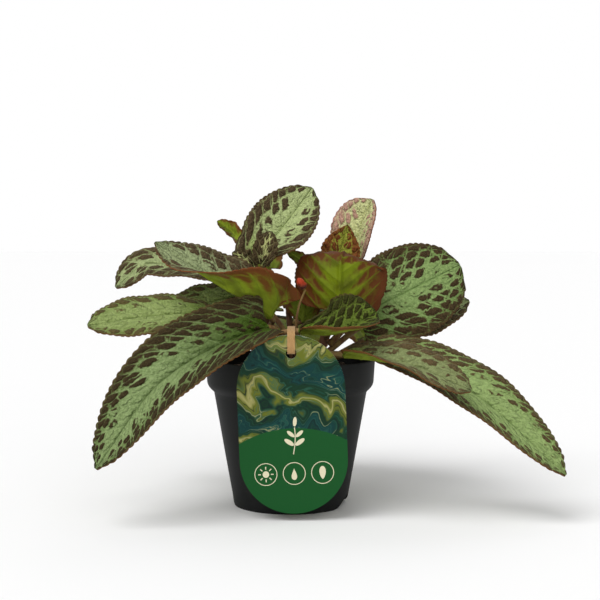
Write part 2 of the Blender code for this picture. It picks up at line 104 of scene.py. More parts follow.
# Label and band
LABEL_WIDTH = 72.5
LABEL_HEIGHT = 120.4
LABEL_THICK = 0.7
LABEL_LEAN = 2.2
LABEL_CENTRE = (1.7, 65.5)
LABEL_FRONT = -61.0
TAG_HOLE = (0.9, 113.2)
TAG_HOLE_RADIUS = 3.5
BAND_WIDTH = 5.2
BAND_THICK = 0.7
BAND_SIDES = 40
INK = 0.06
SIGN_ROW = -33.0         # height of the care signs' middles, from the label's own middle
SIGN_STEP = 19.0
SIGN_RADIUS = 7.4

# Bud
CALYX_TOP = (155.5, 159.0)   # heights over which the dark calyx gives way to red petals

# Studio
SKY_LIGHT = 0.35
SOFTNESS = 45.0
FLOOR_REACH = 6.0        # metres
FLOOR_WHITE = 0.94
LIGHTS = {"key": ((-0.7, -0.7, 1.4), 2.0), "fill": ((0.2, -1.2, 0.6), 0.8),
          "back": ((0.2, 1.1, 1.4), 0.4)}

# How fast a blade widens from its foot and narrows to its tip, and how far its base lobes reach back
SHAPES = {
    "broad": (0.30, 0.62, 0.08),
    "long": (0.45, 0.64, 0.05),
    "elliptic": (0.55, 0.56, 0.05),
    "ovate": (0.50, 0.68, 0.12),
    "round": (0.40, 0.46, 0.12),
    "heart": (0.28, 0.80, 0.23),
    "obovate": (0.85, 0.50, 0.03),
    "pointed": (0.40, 0.95, 0.12),
}

# Places along each stem, and its radius at foot and top
STEMS = {
    "left": (((-12, 2, STEM_FOOT), (-12, 2, 97), (-16, 4, 128), (-21, 5, 165)), 3.0, 2.0),
    "right": (((20, 10, STEM_FOOT), (20, 10, 97), (27, 15, 130), (36, 24, 161)), 3.0, 2.0),
    "front": (((6, -16, STEM_FOOT), (6, -16, 96), (4, -19, 108), (2, -23, 124)), 2.8, 2.2),
    "back": (((2, 28, STEM_FOOT), (2, 28, 97), (0, 32, 118), (-2, 36, 142)), 2.8, 2.0),
}


class Leaf:
    """One leaf, as in the solids, with the name of its colouring.

    height: where its stalk leaves the stem. base, middle, tip: places along the blade, and via one
    along the stalk. face: heading and rise, in degrees, that the upper side faces at foot and tip.
    fold: how far the right and left halves rise, at foot and tip. curl: how much further each
    half turns on its way out."""

    def __init__(self, name, stem, height, base, middle, tip, width, face,
                 fold=((10, 10), (8, 8)), curl=(0, 0), shape="ovate", stalk=2.0, via=None,
                 look="green"):
        self.name = name
        self.stem = stem
        self.height = height
        self.path = [Vector(p) for p in ([via] if via else []) + [base, middle, tip]]
        self.blade_start = 2 if via else 1
        self.width = width
        self.face = face
        self.fold = fold
        self.curl = curl
        self.shape = shape
        self.stalk = stalk
        self.look = look


LEAVES = [
    Leaf("front_left", "front", 111, (-16, -36, 128), (-83, -66, 97), (-127, -88, 39), 60,
         ((-80, 50), (-100, 30)), ((38, 38), (14, 26)), (-15, -10), "broad", 2.4, look="deep"),
    Leaf("left_low", "left", 108, (-54, -18, 135), (-97, -32, 136), (-138, -44, 130), 41,
         ((-95, 50), (-95, 48)), ((10, 10), (10, 10)), (-10, -10), "elliptic", look="light"),
    Leaf("left_behind", "left", 120, (-30, 22, 145), (-63, 28, 141), (-98, 36, 132), 34,
         ((-95, 45), (-95, 45)), ((10, 10), (10, 10)), (0, 0), "elliptic", look="light"),
    Leaf("left_arched", "left", 136, (-38, 16, 158), (-102, 24, 170), (-127, 20, 152), 34,
         ((-90, 60), (-100, 45)), ((10, 10), (10, 10)), (0, 0), "elliptic", look="dark"),
    Leaf("left_folded", "left", 125, (-14, -22, 135), (-52, -28, 160), (-94, -26, 187), 62,
         ((-90, 85), (-90, 85)), ((39, 95), (45, -50)), (0, 0), "heart", look="folded"),
    Leaf("top_large", "left", 150, (-24, 10, 172), (-5, 13, 197), (16, 14, 225), 52,
         ((-90, 15), (-90, 5)), ((58, 12), (12, 8)), (0, -10), "ovate", 1.6, look="top"),
    Leaf("top_small", "left", 161, (-20, -8, 171), (-17, -10, 183), (-13, -8, 194), 18,
         ((-90, 15), (-90, 5)), ((14, 14), (8, 8)), stalk=1.0, look="tiny"),
    Leaf("top_small_left", "left", 159, (-26, 2, 169), (-33, 0, 174), (-41, -1, 179), 16,
         ((-90, 40), (-90, 40)), ((14, 14), (8, 8)), stalk=0.9, look="tiny"),
    Leaf("top_back", "left", 156, (-36, 22, 183), (-42, 25, 193), (-53, 24, 201), 14,
         ((90, 60), (90, 30)), ((20, 20), (20, 20)), stalk=0.8, via=(-35, 9, 164),
         look="red"),
    Leaf("pink_upright", "right", 142, (49, 54, 168), (52, 58, 194), (61, 56, 217), 45,
         ((-105, 0), (-105, 0)), ((60, 5), (55, 5)), (0, 0), "elliptic", 1.4, look="pink"),
    Leaf("red_upright", "right", 154, (35, 40, 170), (38, 42, 184), (42, 40, 198), 30,
         ((-90, -5), (-90, -5)), shape="pointed", stalk=1.2, look="red"),
    Leaf("centre_arched", "right", 118, (33, -8, 137), (36, -3, 176), (43, 30, 172), 70,
         ((90, 10), (90, -70)), ((10, 10), (0, 0)), (35, 15), "broad", 2.2, look="dark"),
    Leaf("centre_small", "right", 148, (16, 38, 165), (8, 38, 172), (-3, 38, 179), 11,
         ((90, 30), (90, 30)), ((10, 10), (10, 10)), stalk=0.9, look="dark"),
    Leaf("front_small", "front", 122, (7, -46, 127), (32, -50, 127), (59, -46, 140), 48,
         ((-80, 30), (-80, 40)), ((80, 15), (20, 10)), (40, 0), "obovate", 1.8,
         via=(-6, -38, 125), look="small"),
    Leaf("right_large", "right", 112, (48, 18, 131), (86, 20, 151), (124, 30, 169), 70,
         ((-85, 20), (-85, 20)), ((5, 5), (0, 0)), (-10, -10), "round", 2.4, look="green"),
    Leaf("right_behind", "right", 106, (58, 32, 127), (95, 36, 133), (132, 38, 142), 52,
         ((-90, 50), (-90, 50)), ((5, 5), (5, 5)), stalk=2.2, look="dark"),
    Leaf("front_right", "front", 99, (57, -24, 111), (122, -44, 86), (184, -72, 32), 54,
         ((-85, 50), (-75, 35)), ((24, 12), (32, 8)), (0, -20), "long", 2.4, look="long"),
    Leaf("front_right_upper", "front", 107, (37, -46, 111), (81, -68, 106), (120, -78, 90), 37,
         ((-85, 45), (-75, 45)), ((70, 10), (10, 10)), (0, -10), "elliptic", look="worn"),
    Leaf("back_centre", "back", 108, (4, 54, 126), (6, 98, 116), (10, 142, 74), 50,
         ((90, 75), (90, 50)), ((14, 14), (10, 10)), (-10, -10), "long", 2.2, look="green"),
    Leaf("back_left", "back", 118, (-18, 50, 134), (-42, 82, 128), (-64, 114, 92), 46,
         ((110, 70), (110, 50)), ((12, 12), (8, 8)), (-10, -10), "ovate", look="light"),
    Leaf("back_right", "back", 116, (20, 50, 132), (44, 86, 128), (66, 118, 96), 46,
         ((70, 70), (70, 50)), ((12, 12), (8, 8)), (-10, -10), "ovate", look="green"),
    Leaf("back_low_left", "left", 102, (-38, 26, 114), (-72, 52, 114), (-104, 76, 88), 40,
         ((120, 75), (120, 55)), shape="elliptic", look="green"),
    Leaf("back_low_right", "right", 99, (54, 40, 112), (84, 62, 118), (104, 80, 118), 38,
         ((60, 70), (60, 60)), shape="elliptic", look="light"),
    Leaf("back_upper_left", "back", 137, (-16, 52, 165), (-22, 63, 181), (-28, 76, 198), 32,
         ((110, 25), (110, 10)), ((12, 12), (8, 8)), stalk=1.4, look="dark"),
    Leaf("back_upper_right", "back", 133, (18, 56, 150), (38, 76, 160), (56, 96, 160), 36,
         ((80, 60), (80, 60)), ((12, 12), (8, 8)), stalk=1.4, look="green"),
    Leaf("centre_back", "back", 126, (9, 27, 128), (9, 27, 142), (8, 28, 155), 26,
         ((90, 5), (90, 5)), stalk=1.4, look="red"),
]

# Colours are linear. silver: the pale middle and veins. shade: the green between them. centre: the
# fresh green at the foot of the midrib. brown and warm: the patches, with warm also painted as
# highlights on their bumps. rim: the outermost edge.
# patches: how far out they begin, from 0 at the midrib to 1 at the margin, and solid: where they
# have run together. cover: how tightly they fill their fields. fade: how much fewer they are
# towards the tip. centre_reach: how far along the blade the fresh green reaches.
LOOKS = {
    "green": dict(silver=(0.32, 0.45, 0.16), shade=(0.075, 0.155, 0.022), centre=(0.13, 0.26, 0.04),
                  brown=(0.024, 0.013, 0.005), warm=(0.085, 0.050, 0.020), rim=(0.110, 0.062, 0.024),
                  patches=0.26, solid=0.74, cover=0.13),
    "deep": dict(silver=(0.34, 0.45, 0.19), shade=(0.065, 0.12, 0.014), centre=(0.050, 0.10, 0.002),
                 brown=(0.018, 0.010, 0.003), warm=(0.068, 0.043, 0.017), rim=(0.130, 0.085, 0.030),
                 patches=0.31, solid=0.60, cover=0.12, centre_reach=0.55, fade=0.34),
    "long": dict(silver=(0.38, 0.51, 0.19), shade=(0.15, 0.24, 0.055), centre=(0.18, 0.29, 0.05),
                 brown=(0.060, 0.038, 0.016), warm=(0.13, 0.085, 0.034), rim=(0.150, 0.092, 0.030),
                 patches=0.50, solid=0.82, cover=0.08),
    "light": dict(silver=(0.38, 0.48, 0.17), shade=(0.13, 0.19, 0.03), centre=(0.20, 0.32, 0.04),
                  brown=(0.085, 0.065, 0.022), warm=(0.14, 0.105, 0.036), rim=(0.16, 0.092, 0.030),
                  patches=0.50, solid=1.05, cover=0.05),
    "dark": dict(silver=(0.47, 0.56, 0.26), shade=(0.14, 0.18, 0.05), centre=(0.24, 0.32, 0.08),
                 brown=(0.045, 0.028, 0.013), warm=(0.120, 0.080, 0.036), rim=(0.140, 0.085, 0.036),
                 patches=0.20, solid=0.48, cover=0.13, fade=0.24),
    "folded": dict(silver=(0.40, 0.48, 0.24), shade=(0.17, 0.19, 0.075), centre=(0.24, 0.32, 0.08),
                   brown=(0.045, 0.028, 0.013), warm=(0.130, 0.085, 0.040), rim=(0.160, 0.105, 0.050),
                   patches=0.02, solid=0.26, cover=0.14, fade=0.85),
    "top": dict(silver=(0.58, 0.68, 0.31), shade=(0.21, 0.27, 0.075), centre=(0.42, 0.54, 0.14),
                brown=(0.040, 0.024, 0.012), warm=(0.110, 0.070, 0.034), rim=(0.120, 0.075, 0.034),
                patches=0.34, solid=0.58, cover=0.12, fade=0.30),
    "tiny": dict(silver=(0.66, 0.68, 0.28), shade=(0.22, 0.24, 0.07), centre=(0.50, 0.56, 0.20),
                 brown=(0.038, 0.024, 0.011), warm=(0.100, 0.062, 0.028), rim=(0.110, 0.070, 0.034),
                 patches=0.14, solid=0.40, cover=0.16, fade=0.0, netted=0.25),
    "small": dict(silver=(0.17, 0.24, 0.034), shade=(0.045, 0.075, 0.006), centre=(0.14, 0.25, 0.02),
                  brown=(0.022, 0.028, 0.003), warm=(0.050, 0.046, 0.008), rim=(0.105, 0.070, 0.018),
                  patches=0.20, solid=0.62, cover=0.13, fade=0.0),
    "worn": dict(silver=(0.32, 0.38, 0.16), shade=(0.14, 0.16, 0.05), centre=(0.24, 0.32, 0.05),
                 brown=(0.085, 0.062, 0.024), warm=(0.15, 0.098, 0.045), rim=(0.14, 0.085, 0.034),
                 patches=0.36, solid=0.66, cover=0.08),
    "pink": dict(silver=(0.74, 0.80, 0.36), shade=(0.64, 0.60, 0.33), centre=(0.58, 0.72, 0.24),
                 brown=(0.56, 0.30, 0.22), warm=(0.62, 0.38, 0.29), rim=(0.48, 0.20, 0.17),
                 patches=0.40, solid=0.62, cover=0.06),
    # The red look is painted brighter than the leaf's own colour: painted light that makes up for the
    # shade red_upright stands in.
    "red": dict(silver=(0.42, 0.48, 0.060), shade=(0.30, 0.25, 0.034), centre=(0.36, 0.48, 0.040),
                brown=(0.190, 0.052, 0.016), warm=(0.30, 0.095, 0.026), rim=(0.32, 0.085, 0.024),
                patches=0.30, solid=0.50, cover=0.14, netted=0.35),
}


class Graph:
    """Short calls that add the nodes of one material."""

    def __init__(self, name):
        self.material = bpy.data.materials.new(name)
        self.material.use_nodes = True
        self.tree = self.material.node_tree
        self.shader = self.tree.nodes["Principled BSDF"]

    def node(self, kind, inputs, output=0, **settings):
        made = self.tree.nodes.new(kind)
        for key, value in settings.items():
            setattr(made, key, value)
        for place, value in inputs.items():
            self.put(made.inputs[place], value)
        return made.outputs[output]

    def put(self, socket, value):
        if isinstance(value, bpy.types.NodeSocket):
            self.tree.links.new(value, socket)
        elif isinstance(value, tuple) and len(value) == 3 and socket.type == "RGBA":
            socket.default_value = (*value, 1.0)
        else:
            socket.default_value = value

    def math(self, operation, a, b=0.0, c=0.0):
        return self.node("ShaderNodeMath", {0: a, 1: b, 2: c}, operation=operation)

    def plus(self, a, b):
        return self.math("ADD", a, b)

    def times(self, a, b, more=0.0):
        """a times b, plus more."""
        return self.math("MULTIPLY_ADD", a, b, more)

    def total(self, start, *shares):
        """start plus a share of each value, from pairs of (value, share)."""
        for value, share in shares:
            start = self.times(value, share, start)
        return start

    def most(self, a, b):
        return self.math("MAXIMUM", a, b)

    def rest(self, value):
        """What is left of 1."""
        return self.math("SUBTRACT", 1.0, value)

    def vector(self, operation, a, b=(0.0, 0.0, 0.0), output=0):
        return self.node("ShaderNodeVectorMath", {0: a, 1: b}, output, operation=operation)

    def step(self, value, low, high):
        """0 below low, 1 above high, smooth between."""
        return self.node("ShaderNodeMapRange", {0: value, 1: low, 2: high},
                         interpolation_type="SMOOTHSTEP")

    def fall(self, value, low, high):
        """1 below low, 0 above high, smooth between."""
        return self.rest(self.step(value, low, high))

    def mix(self, share, a, b):
        return self.node("ShaderNodeMix", {0: share, 6: a, 7: b}, 2, data_type="RGBA")

    def tint(self, colour, other, value, low, high, share):
        """Mix in a share of the other colour where the value passes from low to high."""
        return self.mix(self.times(self.step(value, low, high), share), colour, other)

    def object_place(self):
        return self.node("ShaderNodeTexCoord", {}, 3)

    def attribute(self, name):
        return self.node("ShaderNodeAttribute", {}, 1, attribute_name=name)

    def parts(self, vector):
        made = self.tree.nodes.new("ShaderNodeSeparateXYZ")
        self.put(made.inputs[0], vector)
        return made.outputs

    def join(self, x, y, z=0.0):
        return self.node("ShaderNodeCombineXYZ", {0: x, 1: y, 2: z})

    def noise(self, place, scale, detail=2.0, distortion=0.0):
        return self.node("ShaderNodeTexNoise", {"Vector": place, "Scale": scale, "Detail": detail,
                                                "Distortion": distortion})

    def drift(self, place, scale, detail):
        """Noise to both sides of 0."""
        return self.math("SUBTRACT", self.noise(place, scale, detail), 0.5)

    def cells(self, place, scale, randomness, feature="DISTANCE_TO_EDGE", dimensions="2D"):
        return self.node("ShaderNodeTexVoronoi", {"Vector": place, "Scale": scale,
                                                  "Randomness": randomness}, feature=feature,
                         voronoi_dimensions=dimensions)

    def bump(self, height, depth_mm, strength=1.0):
        return self.node("ShaderNodeBump", {"Strength": strength, "Distance": depth_mm * MM,
                                            "Height": height})

    def finish(self, colour, roughness, normal, sheen=0.0, sheen_tint=(1.0, 1.0, 1.0), gloss=0.5):
        self.put(self.shader.inputs["Base Color"], colour)
        self.put(self.shader.inputs["Roughness"], roughness)
        self.put(self.shader.inputs["Normal"], normal)
        self.shader.inputs["Specular IOR Level"].default_value = gloss
        self.shader.inputs["Sheen Weight"].default_value = sheen
        self.shader.inputs["Sheen Roughness"].default_value = 0.5
        self.shader.inputs["Sheen Tint"].default_value = (*sheen_tint, 1.0)
        return self.material


def leaf_guides(g):
    """The wavering guides that both sides of a leaf are painted by."""
    along, across, vein = g.parts(g.attribute("blade"))
    spot = g.attribute("spot")
    vein = g.times(g.drift(spot, 0.8, 2.0), 0.30, vein)
    columns, rows, _ = g.parts(g.attribute("layout"))
    out = g.times(g.drift(g.vector("ADD", spot, (7.0, 3.0, 0.0)), 1.5, 2.0), 0.10, across)
    between = g.times(g.math("PINGPONG", vein, 0.5), 2.0)
    place = g.join(g.times(vein, columns), g.times(out, rows))
    wobble = g.node("ShaderNodeTexNoise", {"Vector": spot, "Scale": 3.5, "Detail": 2.0}, 1)
    wobble = g.vector("SUBTRACT", wobble, (0.5, 0.5, 0.5))
    place = g.vector("ADD", place, g.vector("MULTIPLY", wobble, (0.55, 0.55, 0.0)))
    return along, across, out, between, place, spot


def leaf_cells(g, place, randomness):
    """Small rounded fields of a leaf: nearness to their edge and core, a draw for each, and its place."""
    edge = g.cells(place, 1.0, randomness)
    draw = g.node("ShaderNodeTexVoronoi", {"Vector": place, "Scale": 1.0, "Randomness": randomness}, 1,
                  voronoi_dimensions="2D")
    chance = g.parts(draw)[0]
    middle = g.parts(draw.node.outputs["Position"])[1]
    core = g.times(draw.node.outputs["Distance"], -0.5, g.plus(edge, 0.22))
    rows = g.parts(g.attribute("layout"))[1]
    return edge, core, chance, g.math("DIVIDE", middle, rows)


def upper_material(name, silver, shade, centre, brown, warm, rim, patches, solid, cover=0.05,
                   centre_reach=0.30, fade=0.20, netted=1.0):
    """Pale feathered middle and veins, dark fields between the veins, brown margin. The dark fields
    carry lighter warm flecks painted as highlights on their bumps, and pale specks give the fine
    hairs' paler tone with their painted glint.

    netted: how clearly the pale veins cut through the dark fields, from 0 to 1."""
    g = Graph(name)
    along, across, out, between, place, spot = leaf_guides(g)
    edge, core, chance, middle = leaf_cells(g, place, 0.8)
    ragged = g.drift(spot, 7.0, 3.0)
    loose = g.drift(spot, 2.2, 1.0)
    outer = g.step(out, 0.35, 0.90)
    inside = g.fall(across, 0.80, 0.95)
    foot = g.fall(along, 0.05, 0.40)
    reach = g.total(middle, (chance, 0.30), (foot, 0.10), (loose, 0.35), (along, 0.20 - fade))
    chosen = g.step(reach, patches + 0.12, patches + 0.17)
    gap = g.total(0.16 - cover, (outer, -0.11), (ragged, 0.24), (loose, 0.24))
    patch = g.times(chosen, g.step(core, gap, g.plus(gap, 0.20)))
    flare = g.total(between, (ragged, 0.10), (g.rest(out), -0.18))
    side_vein = g.times(g.fall(flare, -0.05, 0.09), inside)
    patch = g.times(patch, g.times(side_vein, -0.95 * netted, 1.0))
    net = g.fall(edge, 0.0, 0.09)
    filled = g.total(out, (along, -fade), (ragged, 0.30), (loose, 0.35))
    filled = g.step(filled, solid - 0.13, solid + 0.03)
    lines = g.most(g.times(net, 0.70), g.times(side_vein, 0.85))
    filled = g.times(filled, g.times(lines, -netted, 1.0))
    band = g.step(g.times(ragged, 0.16, across), 0.85, 0.95)
    band = g.times(band, g.times(net, -0.35, 1.0))
    dark = g.most(g.most(patch, filled), band)
    streaks = g.join(g.times(between, 7.0), g.times(out, 9.0), along)
    feather = g.noise(g.vector("ADD", streaks, g.vector("MULTIPLY", spot, (1.2, 1.2, 1.0))), 1.0, 4.0)
    mottle = g.times(g.step(g.noise(spot, 5.0, 6.0), 0.38, 0.62), 0.40)
    mottle = g.times(g.step(feather, 0.38, 0.64), 0.40, mottle)
    blister = g.step(g.cells(spot, 3.6, 1.0, dimensions="3D"), 0.0, 0.34)
    mottle = g.times(blister, -0.20, g.plus(mottle, 0.17))
    mottle = g.times(mottle, g.times(outer, 0.45, 0.52))
    pale = g.mix(mottle, silver, shade)
    fresh = g.times(g.fall(along, 0.02, centre_reach), g.fall(across, 0.35, 1.0))
    pale = g.mix(fresh, pale, centre)
    crest = g.fall(between, 0.02, 0.12)
    crest = g.times(crest, g.times(fresh, -0.42, 0.50))
    pale = g.mix(crest, pale, silver)
    pale = g.mix(g.times(outer, 0.35), pale, shade)
    grain = g.noise(spot, 17.0, 3.0)
    # Painted highlights: lighter warm flecks where the grain raises the bumps of the dark patches.
    deep = g.mix(g.step(grain, 0.40, 0.66), brown, warm)
    deep = g.tint(deep, warm, core, 0.30, 0.06, 0.50)
    # Painted highlights: more warm brown along the blisters' edges stands in for light caught by the
    # patches' bumps.
    deep = g.mix(g.times(g.rest(blister), 0.35), deep, warm)
    colour = g.mix(dark, pale, deep)
    colour = g.tint(colour, rim, across, 0.93, 0.99, 0.80)
    midrib = g.fall(across, 0.006, 0.028)
    colour = g.mix(g.times(midrib, 0.40), colour, shade)
    fuzz = g.noise(spot, 46.0, 1.0)
    # Pale specks: the fine hairs' paler tone together with their painted glint.
    colour = g.tint(colour, silver, fuzz, 0.52, 0.74, 0.12)
    colour = g.tint(colour, brown, fuzz, 0.48, 0.28, 0.25)
    height = g.total(g.times(fuzz, 0.4), (grain, 1.0), (g.step(core, 0.0, 0.45), 1.8),
                     (feather, 0.5), (blister, 0.75))
    return g.finish(colour, g.times(fuzz, 0.20, 0.50), g.bump(height, 0.85, 1.0),
                    0.02, (0.80, 0.90, 0.60), 0.10)


def under_material(name, lime, olive, red, edge_red, blotches, crown=2.0):
    """Bright underside: lime along raised veins, each with a thin olive line of painted shade down its
    ridge, red-brown fields between them, red margin.

    crown: how far along the blade, from 0 to 1, the red spreads right across it."""
    g = Graph(name)
    along, across, out, between, place, spot = leaf_guides(g)
    edge, _, chance, _ = leaf_cells(g, place, 0.9)
    streak = g.drift(place, 2.2, 4.0)
    out = g.most(out, g.step(g.times(streak, 0.10, along), crown - 0.10, crown + 0.14))
    reach = g.total(out, (between, 0.30), (chance, 0.06), (streak, 0.34))
    patch = g.step(reach, blotches + 0.12, blotches + 0.42)
    base = g.mix(g.step(g.noise(spot, 1.0, 3.0), 0.38, 0.72), lime, olive)
    base = g.tint(base, olive, along, 0.30, 0.0, 0.6)
    side_vein = g.fall(between, 0.05, 0.24)
    net = g.fall(edge, 0.03, 0.22)
    light = g.most(side_vein, g.times(net, 0.45))
    light = g.times(light, g.fall(across, 0.68, 0.92))
    colour = g.mix(g.times(patch, g.times(light, -0.80, 1.0)), base, red)
    colour = g.tint(colour, edge_red, out, 0.74, 0.92, 0.9)
    # Painted shade: a thin olive line down the middle of each raised vein stands in for the shading of its
    # ridge.
    line = g.fall(between, 0.0, 0.05)
    colour = g.mix(g.times(line, 0.55), colour, olive)
    fuzz = g.noise(spot, 40.0, 1.0)
    colour = g.tint(colour, olive, fuzz, 0.5, 0.3, 0.25)
    height = g.total(g.times(fuzz, 0.25), (line, 0.6), (g.step(edge, 0.30, 0.0), 0.4))
    return g.finish(colour, g.times(fuzz, 0.15, 0.45), g.bump(height, 0.35, 0.9),
                    0.02, (0.9, 0.9, 0.6), 0.10)


def skin_material(name, colour, other, roughness=0.62, scale=260.0):
    """Finely hairy skin of stems and stalks, mottled between two colours."""
    g = Graph(name)
    place = g.object_place()
    stretched = g.vector("MULTIPLY", place, (1.0, 1.0, 0.35))
    tone = g.step(g.noise(stretched, scale, 3.0), 0.35, 0.68)
    fuzz = g.noise(place, 3200.0, 1.0)
    mixed = g.mix(tone, colour, other)
    mixed = g.tint(mixed, (0.30, 0.20, 0.11), fuzz, 0.52, 0.75, 0.25)
    return g.finish(mixed, g.times(fuzz, 0.2, roughness - 0.1), g.bump(fuzz, 0.2, 0.7),
                    0.04, (0.95, 0.85, 0.75), 0.15)


def pot_material():
    """Charcoal moulded plastic: satin, with faint flow marks and a little dust."""
    g = Graph("pot_plastic_finish")
    place = g.object_place()
    flow = g.noise(g.vector("MULTIPLY", place, (1.0, 1.0, 0.12)), 120.0, 3.0)
    grain = g.noise(place, 2600.0, 2.0)
    dust = g.step(g.noise(place, 55.0, 5.0), 0.56, 0.80)
    colour = g.mix(flow, (0.013, 0.014, 0.014), (0.019, 0.020, 0.020))
    colour = g.mix(g.times(dust, 0.12), colour, (0.10, 0.09, 0.08))
    rough = g.total(0.50, (dust, 0.16), (flow, 0.08))
    height = g.plus(grain, g.times(flow, 0.6))
    return g.finish(colour, rough, g.bump(height, 0.06, 0.5), gloss=0.06)


def soil_material():
    """Damp peat: crumbly, with a few paler specks."""
    g = Graph("peat_finish")
    place = g.object_place()
    tone = g.noise(place, 420.0, 5.0)
    crumbs = g.cells(place, 700.0, 1.0, "F1", "3D")
    colour = g.mix(g.step(tone, 0.38, 0.66), (0.020, 0.013, 0.009), (0.085, 0.054, 0.034))
    colour = g.mix(g.step(g.noise(place, 900.0, 2.0), 0.66, 0.76), colour, (0.17, 0.11, 0.065))
    height = g.math("SUBTRACT", tone, crumbs)
    return g.finish(colour, 0.9, g.bump(height, 1.0, 0.9))


def print_material():
    """Satin card print: brushed bands of teal, green, yellow and cream over a plain green hill."""
    g = Graph("card_print")
    place = g.attribute("print")
    x, z, _ = g.parts(place)
    bend = g.noise(place, 0.30, 3.0, 0.8)
    swept = g.plus(g.times(x, 0.10, g.times(z, 0.26)), g.times(bend, 2.2))
    bands = g.times(g.math("PINGPONG", swept, 0.5), 2.0)
    stroke_place = g.join(g.times(swept, 26.0), g.times(x, 0.35, g.times(z, 0.2)))
    brush = g.noise(stroke_place, 0.9, 4.0, 0.3)
    colour = g.mix(g.step(bands, 0.10, 0.45), (0.002, 0.036, 0.034), (0.004, 0.030, 0.012))
    colour = g.mix(g.step(bands, 0.55, 0.80), colour, (0.12, 0.14, 0.014))
    colour = g.mix(g.step(bands, 0.86, 0.99), colour, (0.34, 0.32, 0.11))
    colour = g.tint(colour, (0.016, 0.090, 0.060), brush, 0.50, 0.62, 0.55)
    colour = g.tint(colour, (0.40, 0.38, 0.17), brush, 0.62, 0.70, 0.50)
    colour = g.tint(colour, (0.002, 0.014, 0.012), brush, 0.46, 0.34, 0.80)
    hill = g.vector("LENGTH", g.join(g.times(x, 0.80), g.plus(z, 5.2)), output=1)
    colour = g.mix(g.step(hill, 4.98, 4.92), colour, (0.005, 0.074, 0.014))
    gloss = g.noise(place, 30.0, 1.0)
    return g.finish(colour, g.times(gloss, 0.06, 0.30), g.bump(gloss, 0.02, 0.3), gloss=0.14)


def plain_material(name, colour, other, roughness, scale, depth):
    """Two close tones over a fine grain, for card, ink and the like."""
    g = Graph(name)
    place = g.object_place()
    grain = g.noise(place, scale, 3.0)
    mixed = g.mix(grain, colour, other)
    return g.finish(mixed, roughness, g.bump(grain, depth, 0.5))


def band_material():
    """Flat tan band with fibres along it and small gaps between them."""
    g = Graph("band_fibre")
    along, across, _ = g.parts(g.attribute("strand"))
    fibres = g.join(g.times(across, 26.0), g.times(along, 1.4))
    tone = g.noise(fibres, 1.0, 3.0)
    ribs = g.math("PINGPONG", g.times(across, 9.0), 0.5)
    colour = g.mix(g.step(tone, 0.32, 0.70), (0.30, 0.155, 0.045), (0.52, 0.31, 0.11))
    colour = g.tint(colour, (0.22, 0.11, 0.04), ribs, 0.12, 0.0, 0.5)
    height = g.plus(ribs, g.times(tone, 0.6))
    return g.finish(colour, 0.66, g.bump(height, 0.22, 0.9), 0.2)


def petal_material():
    """Hairy bud: a dark calyx below, red petals above."""
    g = Graph("petal_finish")
    place = g.object_place()
    low, high = CALYX_TOP
    ripe = g.step(g.parts(place)[2], low * MM, high * MM)
    fuzz = g.noise(place, 3000.0, 2.0)
    streak = g.noise(g.vector("MULTIPLY", place, (1.0, 1.0, 0.2)), 900.0, 2.0)
    colour = g.mix(ripe, (0.045, 0.012, 0.008), (0.34, 0.030, 0.006))
    colour = g.tint(colour, (0.42, 0.075, 0.014), streak, 0.5, 0.7, 0.4)
    colour = g.tint(colour, (0.40, 0.16, 0.08), fuzz, 0.55, 0.75, 0.12)
    return g.finish(colour, 0.6, g.bump(fuzz, 0.2, 0.7), 0.05, (1.0, 0.85, 0.8), 0.2)


def smooth_path(points, steps):
    """Points along a smooth curve through the given points."""
    ends = [2 * points[0] - points[1]] + list(points) + [2 * points[-1] - points[-2]]
    path = []
    for i in range(1, len(ends) - 2):
        before, here, there, after = ends[i - 1:i + 3]
        gap = (there - here).length
        leave = (there - before) * gap / ((there - here).length + (here - before).length)
        reach = (after - here) * gap / ((after - there).length + (there - here).length)
        for k in range(steps):
            t = k / steps
            path.append((2 * t**3 - 3 * t**2 + 1) * here + (t**3 - 2 * t**2 + t) * leave
                        + (3 * t**2 - 2 * t**3) * there + (t**3 - t**2) * reach)
    path.append(points[-1].copy())
    return path


def stem_at(name, height):
    """Place and radius of a stem at a height above the table."""
    points, foot_radius, top_radius = STEMS[name]
    path = smooth_path([Vector(p) for p in points], 16)
    for low, high in zip(path, path[1:]):
        if low.z <= height <= high.z:
            share = (height - low.z) / (high.z - low.z)
            rise = (height - path[0].z) / (path[-1].z - path[0].z)
            return low.lerp(high, share), foot_radius + (top_radius - foot_radius) * rise
    return path[-1], top_radius


def heading(azimuth, elevation):
    a, e = radians(azimuth), radians(elevation)
    return np.array([cos(a) * cos(e), sin(a) * cos(e), sin(e)])


def unit(vectors):
    return vectors / np.linalg.norm(vectors, axis=-1, keepdims=True)


def ease(value, low, high):
    """0 below low, 1 above high, smooth between, for arrays."""
    t = np.clip((value - low) / (high - low), 0.0, 1.0)
    return t * t * (3 - 2 * t)


